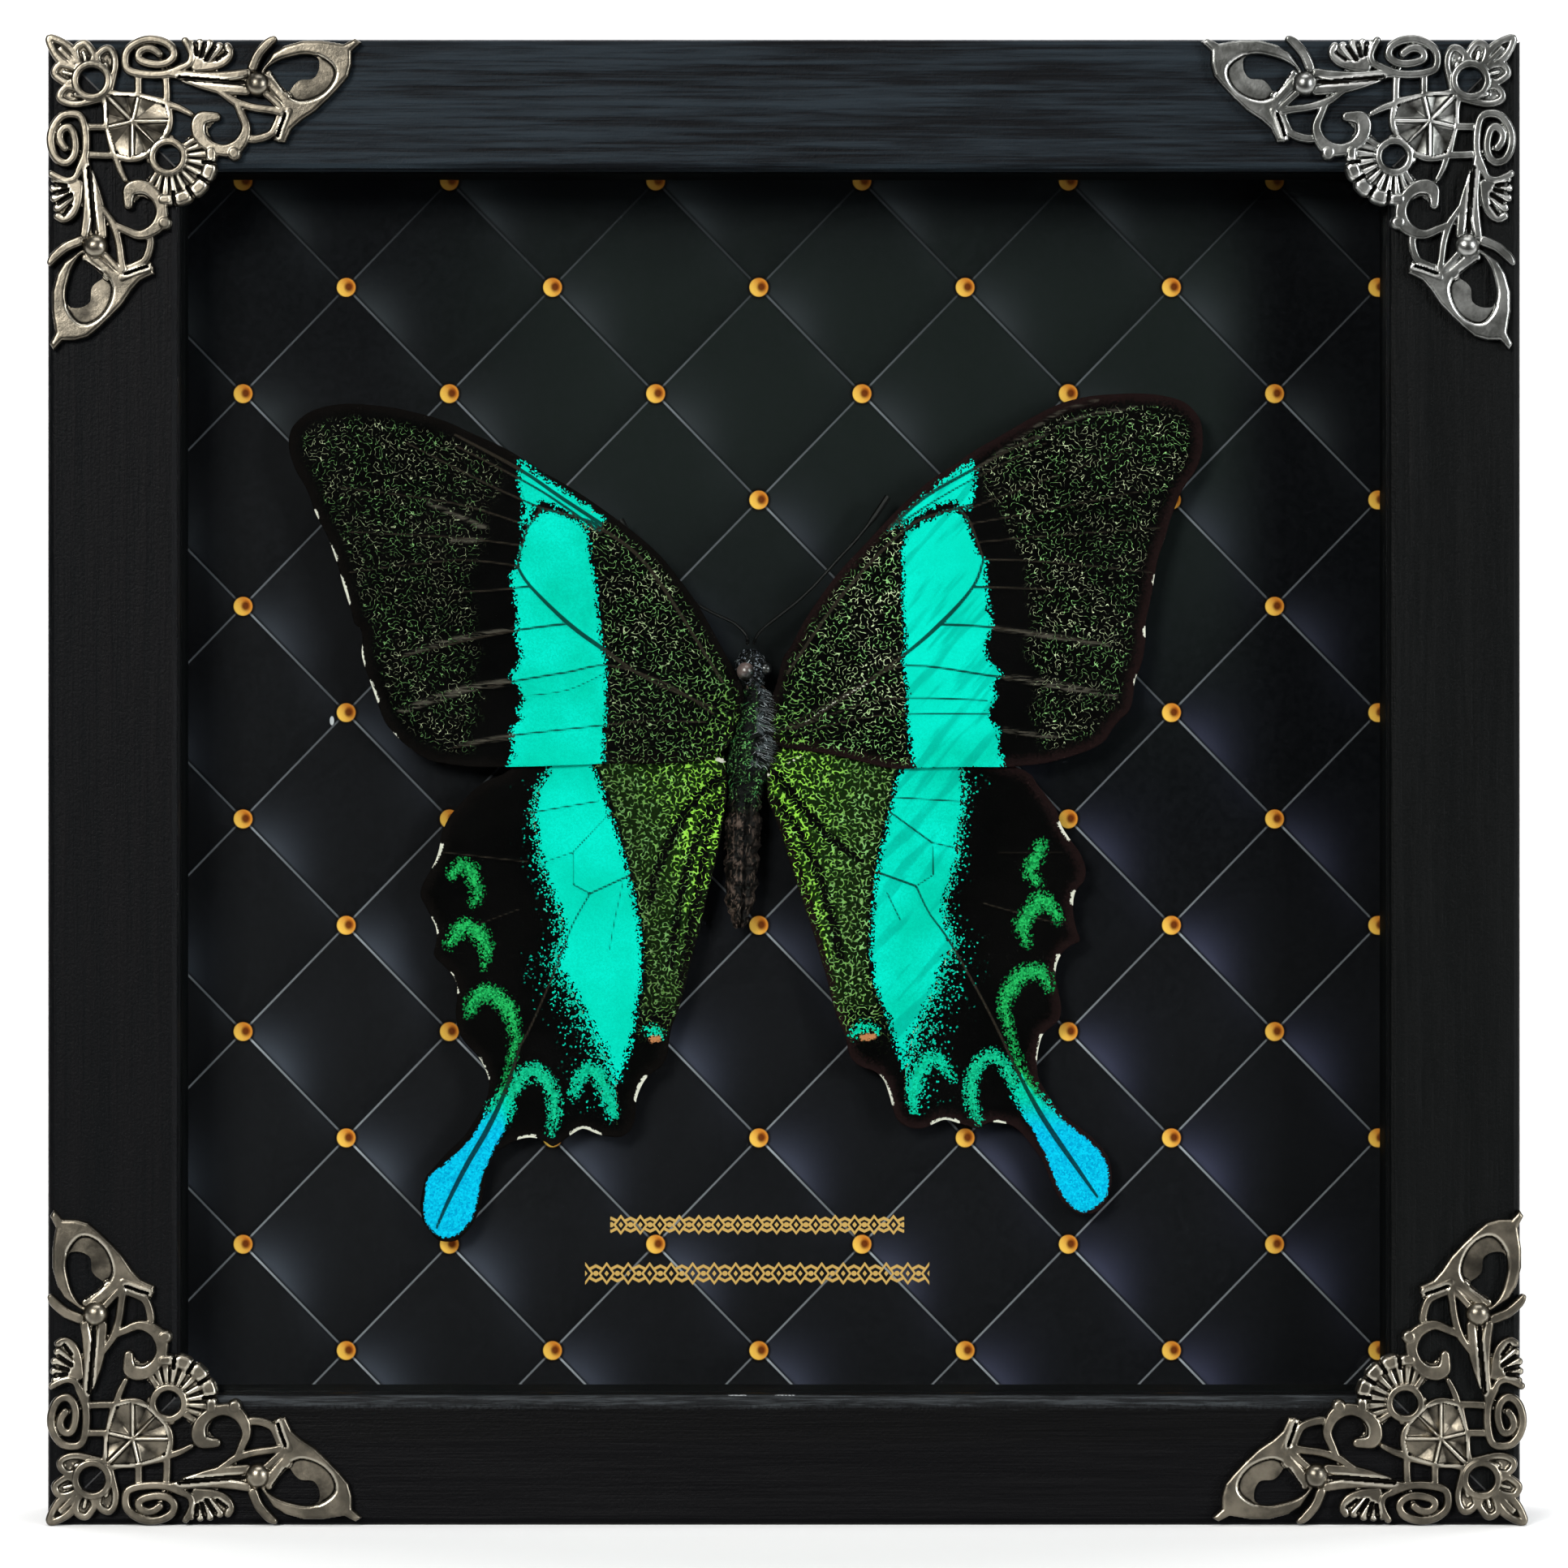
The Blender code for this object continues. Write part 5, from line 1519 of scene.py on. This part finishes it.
def hair_material():
    made, t, shader = node_material("hairs", (0.05, 0.05, 0.04), 0.5, specular=0.1)
    tone, kind = t.attribute("tone"), t.attribute("kind")
    green = t.blend(tone, linear(6, 26, 12), linear(96, 190, 110))
    grey = t.blend(tone, linear(12, 13, 14), linear(216, 220, 226))
    brown = t.blend(tone, linear(20, 15, 13), linear(130, 110, 98))
    colour = t.blend(t.ramp(kind, 0.4, 0.6), green, grey)
    colour = t.blend(t.ramp(kind, 1.4, 1.6), colour, brown)
    t.link(t.scaled(colour, BEHIND_GLASS), shader.inputs["Base Color"])
    return made


def add_hairs():
    """Short flat hairs that lie back along the body; grey and longer on the right of the thorax."""
    rng = np.random.default_rng(7)
    row = rng.uniform(0.01, 0.99, HAIR_COUNT)
    turn = rng.uniform(0.05 * pi, 0.95 * pi, HAIR_COUNT)
    _, py = body_points(row, turn, 0.0)
    right = (np.cos(turn) > 0.2) & (py < GREY_HAIR_END)
    thorax = (py > THORAX_START) & (py < THORAX_END)
    head = py < HEAD_END
    chance = rng.uniform(0, 1, HAIR_COUNT)
    keep = chance < np.where(thorax, np.where(right, 0.38, 0.06), np.where(head, 0.11, 0.06))
    row, turn, right, thorax, head = (a[keep] for a in (row, turn, right, thorax, head))
    count = len(row)
    kind = np.where(thorax, np.where(right, 1.0, 0.0), 2.0)
    kind = np.where(head, 1.0, kind)
    length = np.where(thorax, rng.uniform(0.006, 0.020, count), rng.uniform(0.008, 0.022, count))
    length = np.where(head, rng.uniform(0.006, 0.014, count), length)
    turn_off = rng.normal(0, np.where(thorax, 0.35, 0.14), count) - 0.35 * right
    proud = np.where(thorax, rng.uniform(0.15, 0.45, count), rng.uniform(0.06, 0.16, count))
    proud = np.where(thorax & right, rng.uniform(0.3, 1.1, count), proud)
    root, _ = body_points(row, turn, -0.05)
    middle, _ = body_points(np.clip(row + length * 0.5, 0, 1), turn + turn_off * 0.5, proud * 0.7)
    tip, _ = body_points(np.clip(row + length, 0, 1), turn + turn_off, proud)
    width = np.where(thorax, 0.045, 0.035)[:, None] * MM
    side = np.stack([np.sin(turn), np.cos(turn), np.zeros(count)], axis=1) * width
    point = side * 0.1
    verts = np.stack([root - side, root + side, middle + side, middle - side, tip + point, tip - point], 1)
    base = 6 * np.arange(count)[:, None]
    quads = np.concatenate([base + (0, 1, 2, 3), base + (3, 2, 4, 5)])
    made = fast_mesh("body_hairs", verts.reshape(-1, 3), quads, hair_material())
    add_attribute(made, "kind", np.repeat(kind, 6))
    add_attribute(made, "tone", np.repeat(rng.uniform(0, 1, count) ** 1.6, 6))
    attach(made, "root")


def eye_material():
    """The left eye is brown with a painted highlight on its upper left side and painted shade towards the
    lower right, the right one near black.
    """
    made, t, shader = node_material("eye", linear(64, 52, 52), 0.3, specular=0.7)
    (between, _), (middle_x, middle_z) = to_place([BETWEEN_EYES, EYES[0][:2]], SHEET_DEPTH)
    x, _, z = t.xyz(t.position())
    # Painted light: the left eye lighter towards the upper left, darker towards the lower right.
    light_to_shade = x - middle_x - (z - middle_z)
    brown = t.blend(t.ramp(light_to_shade, -0.5 * MM, 0.9 * MM), linear(92, 76, 74), linear(16, 13, 13))
    on_right = t.ramp(x, between, between + 0.1 * MM)
    t.link(t.blend(on_right, brown, linear(8, 8, 9)), shader.inputs["Base Color"])
    return made


def add_eyes():
    verts, quads = [], []
    for px, py, radius, height in EYES:
        x, z = to_place([(px, py)], SHEET_DEPTH - height * MM)[0]
        y, r = SHEET_Y - height * MM, radius * photo_scale(SHEET_DEPTH)
        start = len(verts)
        for i in range(EYE_ROWS + 1):
            # The first and last rings are small circles and not points, so that every face has four corners.
            tilt = pi * (i + 0.02) / (EYE_ROWS + 0.04)
            for j in range(EYE_SIDES):
                turn = 2 * pi * j / EYE_SIDES
                out = r * sin(tilt)
                verts.append((x + out * cos(turn), y - r * cos(tilt), z + out * sin(turn)))
        for i in range(EYE_ROWS):
            for j in range(EYE_SIDES):
                a, b = start + i * EYE_SIDES + j, start + i * EYE_SIDES + (j + 1) % EYE_SIDES
                quads.append((a, b, b + EYE_SIDES, a + EYE_SIDES))
    made = fast_mesh("eyes", verts, np.array(quads), eye_material())
    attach(made, "root")


# The printed sheet: a tufted pattern with gilt studs, all of it flat print, with painted light, painted
# shadows of the rails and a painted sheen laid over it

STUD_ORIGIN = (935, 878)
STUD_PITCH = (127.1, 131.0)
STUD_RADIUS = 11.6
STUD_SHADOW_RADIUS = 13.0
# A pale speck: its place and half size in pixels
SPECK = (409, 888)
SPECK_SIZE = (2.8, 6.0)
SEAM_PITCH = 182.4
# Bands of ornament: the middle, half length, pitch and half height
ORNAMENT_ROWS = ((933, 1509, 181, 24.0, 13.0), (933, 1569, 212, 26.5, 15.0))
# Columns and rows of the photograph between which the print's tones change: painted light on the left and
# lower rows, painted shadows of the rails at the right and top, a painted sheen in the upper middle, puffs
# that change colour upwards, lighter rows towards the bottom, and seams and studs dimmed by painted shadow at
# the top
LIT_COLUMNS = (1500, 250)
LIT_ROWS = (300, 620)
SHEEN_ROWS, SHEEN_TOP_ROWS = (1050, 500), (180, 380)
SHEEN_RIGHT_COLUMNS, SHEEN_LEFT_COLUMNS = (1580, 1480), (440, 760)
UPPER_ROWS = (900, 500)
LOWER_ROWS = (900, 1300)
SHADED_SEAM_ROWS = (230, 560)
SHADED_STUD_ROWS = (340, 230)


def sheet_material():
    made, t, shader = node_material("printed_sheet", (0.01, 0.01, 0.01), 0.45, specular=0.02)
    scale = photo_scale(SHEET_DEPTH)
    x, _, z = t.xyz(t.position())
    px = x / scale + PHOTO_MIDDLE[0]
    py = (FRAME_HEIGHT / 2 - z) / scale + PHOTO_MIDDLE[1]
    u = (px - STUD_ORIGIN[0]) / STUD_PITCH[0]
    v = (py - STUD_ORIGIN[1]) / STUD_PITCH[1]
    p, q = (u + v) * 0.5, (u - v) * 0.5
    near_p, near_q = t.math("ROUND", p), t.math("ROUND", q)
    dp, dq = p - near_p, q - near_q
    fp, fq = t.math("FRACT", p), t.math("FRACT", q)
    stud_x, stud_y = (dp + dq) * STUD_PITCH[0], (dp - dq) * STUD_PITCH[1]
    stud = t.math("SQRT", stud_x * stud_x + stud_y * stud_y)

    grain = t.noise(t.position(), 1500, 3, 0.6)
    # Painted light: the ground is lit towards the left and lower rows, with painted shadows of the rails
    # towards the right and the top.
    left = t.ramp(px, *LIT_COLUMNS)
    lit_ground = t.blend(left * t.ramp(py, *LIT_ROWS), linear(8, 9, 12), linear(19, 19, 21))
    # Painted sheen: a lighter greenish reflection over the upper middle of the sheet.
    painted_sheen = t.ramp(py, *SHEEN_ROWS) * t.ramp(px, *SHEEN_RIGHT_COLUMNS)
    painted_sheen = painted_sheen * t.ramp(px, *SHEEN_LEFT_COLUMNS) * t.ramp(py, *SHEEN_TOP_ROWS)
    lit_ground = t.blend(painted_sheen * 0.75, lit_ground, linear(30, 36, 34))

    glow_p = t.math("EXPONENT", (fp - 0.28) * (fp - 0.28) * -14.0)
    glow_q = t.math("EXPONENT", fq * -8.5) * t.ramp(fq, 0.0, 0.03)
    glow = glow_p * glow_q
    second = t.math("EXPONENT", (1.0 - fq) * -9.0) * t.math("EXPONENT", (fp - 0.75) * (fp - 0.75) * -14.0)
    # The printed puffs carry the same painted light: lighter towards the left, and neutral in the upper rows
    # under the painted sheen.
    puff = t.blend(left, linear(62, 63, 84), linear(70, 74, 84))
    puff = t.blend(t.ramp(py, *UPPER_ROWS), puff, linear(64, 68, 72))
    # Lighter ground and stronger puffs towards the bottom.
    lower = t.ramp(py, *LOWER_ROWS)
    lit_ground = t.blend(lower * 0.5, lit_ground, linear(26, 26, 28))
    glow = glow * (0.95 + lower * 0.55)
    colour = t.blend(t.math("MINIMUM", glow + second * 0.12, 1.0), lit_ground, puff)
    valley = t.math("EXPONENT", t.math("MINIMUM", 1.0 - fp, fq + 0.06) * -10.0)
    colour = t.blend(valley * 0.45, colour, linear(6, 7, 9))

    seam_q = abs(dq) * SEAM_PITCH
    seam_p = abs(dp) * SEAM_PITCH
    down = t.ramp(seam_q, 1.9, 0.6) * (t.math("EXPONENT", fp * -3.0) * 0.8 + 0.22)
    across = t.ramp(seam_p, 1.7, 0.6) * (t.math("EXPONENT", fq * -2.0) * 0.25 + 0.30)
    dark_q = t.ramp(seam_q, 5.0, 1.5)
    colour = t.blend(dark_q * 0.5, colour, linear(7, 8, 10))
    # Painted shade: the seams are dimmer in the top rail's shadow.
    seams_out_of_shade = t.ramp(py, *SHADED_SEAM_ROWS) * 0.8 + 0.15
    seam = t.blend(lower, linear(146, 148, 156), linear(186, 188, 196))
    colour = t.blend(t.math("MAXIMUM", down, across) * seams_out_of_shade, colour, seam)
    colour = t.blend(t.ramp(grain, 0.3, 0.75) * 0.10, colour, linear(50, 50, 56))

    shadow = t.ramp(abs(stud - STUD_SHADOW_RADIUS), 3.5, 0.0)
    colour = t.blend(shadow * 0.8, colour, linear(14, 9, 7))
    sx, sy = stud_x / STUD_RADIUS, stud_y / STUD_RADIUS
    lit = t.ramp(sx * -0.75 + sy * 0.45, -0.9, 0.85)
    gold = t.blend(lit, linear(196, 96, 18), linear(255, 200, 88))
    dark = t.math("SQRT", (sx - 0.26) * (sx - 0.26) + (sy + 0.04) * (sy + 0.04) * 0.8)
    gold = t.blend(t.ramp(dark, 0.62, 0.22) * 0.92, gold, linear(94, 30, 8))
    edge = t.ramp(stud, STUD_RADIUS * 0.7, STUD_RADIUS * 0.92)
    gold = t.blend(edge * t.ramp(sx, -0.4, 0.6) * 0.5, gold, linear(250, 176, 70))
    gold = t.blend(t.ramp(stud, STUD_RADIUS * 0.86, STUD_RADIUS * 1.05) * 0.4, gold, linear(92, 44, 14))
    # Painted shadow of the top rail over the top rows of studs.
    gold = t.blend(t.ramp(py, *SHADED_STUD_ROWS) * 0.6, gold, linear(92, 42, 16))
    colour = t.blend(t.ramp(stud, STUD_RADIUS + 0.7, STUD_RADIUS - 0.7), colour, gold)

    upper_band, lower_band = (ornament(t, px, py, *row) for row in ORNAMENT_ROWS)
    colour = t.blend(t.math("MAXIMUM", upper_band, lower_band), colour, linear(214, 170, 98))
    speck_x, speck_y = (px - SPECK[0]) / SPECK_SIZE[0], (py - SPECK[1]) / SPECK_SIZE[1]
    speck = t.ramp(speck_x * speck_x + speck_y * speck_y, 1.1, 0.6)
    colour = t.blend(speck, colour, linear(196, 196, 200))
    t.link(t.scaled(colour, BEHIND_GLASS), shader.inputs["Base Color"])
    return made


def ornament(t, px, py, middle_x, middle_y, reach, pitch, tall):
    """Where a band of ornament is gilt: a chain of lozenges with beads in and between them, and ticks."""
    gx, gy = px - middle_x, py - middle_y
    step = t.math("FRACT", gx / pitch + 0.5) - 0.5
    step_odd = t.math("FRACT", gx / pitch) - 0.5
    lozenge = abs(step) * (2.4 * tall) + abs(gy)
    ring = abs(lozenge - 0.8 * tall)
    dot = t.math("SQRT", step_odd * step_odd * pitch * pitch + gy * gy)
    curl = abs(abs(gy) - tall * 0.62 + abs(step_odd) * tall * 0.9)
    tick = t.ramp(curl, 2.5, 1.3) * t.ramp(abs(step_odd), 0.34, 0.30)
    shape = t.math("MAXIMUM", t.ramp(ring, 2.7, 1.5), t.ramp(dot, 3.7, 2.6))
    shape = t.math("MAXIMUM", shape, tick)
    shape = t.math("MAXIMUM", shape, t.ramp(lozenge, 4.2, 3.0))
    return shape * ((abs(gx) < reach) * (abs(gy) < tall + 2))


# The worn inner edge of the bottom rail: how far back from the front it fades out, the heights at which the
# dark strip, the worn paint and the bare marks fade in, and how much the worn paint's height varies
WORN_DEPTHS = (FRONT_Y + 0.7 * MM, FRONT_Y + 0.3 * MM)
DARK_HEIGHTS = (9.8 * MM, 10.8 * MM)
WORN_HEIGHTS = (14.0 * MM, 15.0 * MM)
BARE_HEIGHTS = (15.75 * MM, 15.85 * MM)
WORN_SPREAD = 1.2 * MM
# The bare marks: middle and half length across the frame
BARE_MARKS = ((-5.7 * MM, 1.2 * MM), (0.1 * MM, 1.3 * MM))


def rail_material(name, along_x, lit_tone_low, lit_tone_high, worn):
    """Black satin paint over wood, with fine brush marks along the rail, in tones set per rail as painted
    light and shade.
    """
    made, t, shader = node_material(name, linear(21, 24, 26), 0.42, specular=0.05)
    place = t.position()
    streaks = t.noise(t.scaled(place, (50, 1600, 1600) if along_x else (1600, 1600, 50)), 1.0, 4, 0.65)
    broad = t.noise(t.scaled(place, (16, 300, 300) if along_x else (300, 300, 16)), 1.0, 3, 0.6, 2.0)
    pits = t.noise(place, 2600, 3, 0.7, 3.0)
    tone = t.ramp(streaks * 0.6 + broad * 0.4, 0.39, 0.63)
    # Painted light: each rail's tones are lighter or darker by how it is lit.
    colour = t.blend(tone, linear(*lit_tone_low), linear(*lit_tone_high))
    if worn:
        x, y, z = t.xyz(place)
        scratch = t.ramp(t.noise(t.scaled(place, (130, 2400, 2400)), 1.0, 3, 0.7, 6.0), 0.42, 0.66)
        front = t.ramp(y, *WORN_DEPTHS)
        band = t.ramp(z + (pits - 0.5) * WORN_SPREAD, *WORN_HEIGHTS) * (scratch * 0.8 + 0.2) * front
        colour = t.blend(t.ramp(z, *DARK_HEIGHTS) * 0.6, colour, linear(1, 1, 1))
        colour = t.blend(band, colour, linear(42, 45, 47))
        for middle, half in BARE_MARKS:
            mark = t.ramp(abs(x - middle), half, half * 0.8) * t.ramp(z, *BARE_HEIGHTS)
            colour = t.blend(mark * front * t.ramp(pits, 0.35, 0.55) * 0.8, colour, linear(176, 180, 182))
    t.link(colour, shader.inputs["Base Color"])
    t.link(0.36 + pits * 0.2, shader.inputs["Roughness"])
    height = streaks * 0.8 + broad * 0.8 + pits * 0.5
    t.link(t.bump(height, 0.0003, 0.5), shader.inputs["Normal"])
    return made


GLASS_INDEX = 1.5


def glass_material():
    """Clear flat glass: straight through, with the reflection that its index gives."""
    made = bpy.data.materials.new("clear_glass")
    made.use_nodes = True
    t = Nodes(made.node_tree)
    nodes = made.node_tree.nodes
    nodes.remove(shader_of(made))
    clear = nodes.new("ShaderNodeBsdfTransparent")
    clear.inputs["Color"].default_value = (0.96, 0.98, 0.97, 1)
    mirror = nodes.new("ShaderNodeBsdfGlossy")
    mirror.inputs["Roughness"].default_value = 0.03
    share = nodes.new("ShaderNodeFresnel")
    # Light goes straight through here, so the far face needs the near face's index, or it would mirror all.
    back = Value(t, t.new("ShaderNodeNewGeometry").outputs["Backfacing"])
    t.link(back * (1 / GLASS_INDEX - GLASS_INDEX) + GLASS_INDEX, share.inputs["IOR"])
    mix = nodes.new("ShaderNodeMixShader")
    t.link(share.outputs[0], mix.inputs[0])
    t.link(clear.outputs[0], mix.inputs[1])
    t.link(mirror.outputs[0], mix.inputs[2])
    t.link(mix.outputs[0], nodes["Material Output"].inputs["Surface"])
    return made


# Mitre glue: half its width, how far in it starts, and for each length its front, its back and where it ends
GLUE_HALF_WIDTH = 0.12 * MM
GLUE_START = 0.4 * MM
GLUE_LENGTHS = ((0.1 * MM, 2.8 * MM, 15.6 * MM), (2.8 * MM, 27.8 * MM, 10.6 * MM))


def add_mitre_glue():
    """The dark glue in each mitre joint: right across the lip, and up to the rabbet behind it."""
    finish = simple_material("mitre_glue", linear(8, 9, 10), 0.6)
    faces = [(0, 1, 3, 2), (4, 6, 7, 5), (0, 2, 6, 4), (1, 5, 7, 3), (0, 4, 5, 1), (2, 3, 7, 6)]
    for across in (-1, 1):
        for up in (-1, 1):
            verts, quads = [], []
            for front, back, reach in GLUE_LENGTHS:
                first = len(verts)
                for side in (-GLUE_HALF_WIDTH, GLUE_HALF_WIDTH):
                    for y in (FRONT_Y + front, FRONT_Y + back):
                        for inset in (GLUE_START, reach):
                            x = across * (FRAME_WIDTH / 2 - inset + side)
                            z = inset + side if up < 0 else FRAME_HEIGHT - inset - side
                            verts.append((x, y, z))
                quads += [tuple(first + k for k in face) for face in faces]
            name = f"mitre_glue_{'left' if across < 0 else 'right'}_{'bottom' if up < 0 else 'top'}"
            made = mesh_object(name, verts, quads, finish)
            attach(made, "root")


# Rails: the side, whether it lies along x, and the darkest and lightest tone of its paint, which carry
# painted light: the top rail is painted lighter as if lit, the other three darker as if shaded
RAILS = (
    ("top", True, (4, 5, 7), (26, 33, 38)),
    ("bottom", True, (1, 1, 2), (4, 4, 5)),
    ("left", False, (1, 2, 3), (4, 4, 5)),
    ("right", False, (1, 2, 2), (5, 6, 6)),
)


def finish_frame():
    liner = simple_material("black_liner", linear(4, 5, 6), 0.7, specular=0.05)
    steel = simple_material("plated_steel", (0.42, 0.42, 0.41), 0.42, 1.0)
    for side, along_x, low, high in RAILS:
        paint = rail_material(f"rail_paint_lit_per_side_{side}", along_x, low, high, side == "bottom")
        set_material(f"rail_{side}", paint)
        set_material(f"spacer_{side}", liner)
        for number in (1, 2):
            set_material(f"tab_{side}_{number}", steel)
    set_material("hanger", steel)
    set_material("glass", glass_material())
    set_material("background_sheet", sheet_material())
    board, t, shader = node_material("backing_board", (0.2, 0.12, 0.06), 0.85)
    fibres = t.noise(t.scaled(t.position(), (900, 900, 500)), 1.0, 4, 0.7)
    t.link(t.blend(fibres, (0.13, 0.075, 0.035), (0.27, 0.17, 0.09)), shader.inputs["Base Color"])
    set_material("backing_board", board)
    antenna = simple_material("antenna", linear(6, 6, 6), 0.45, specular=0.1)
    set_material("antenna_left", antenna)
    set_material("antenna_right", antenna)


bpy.context.scene.view_settings.view_transform = "Standard"
set_camera()
for lamp in LAMPS:
    area_light(*lamp)
set_world()
set_stage()
finish_frame()
add_mitre_glue()
add_corners()
add_wings()
add_body()
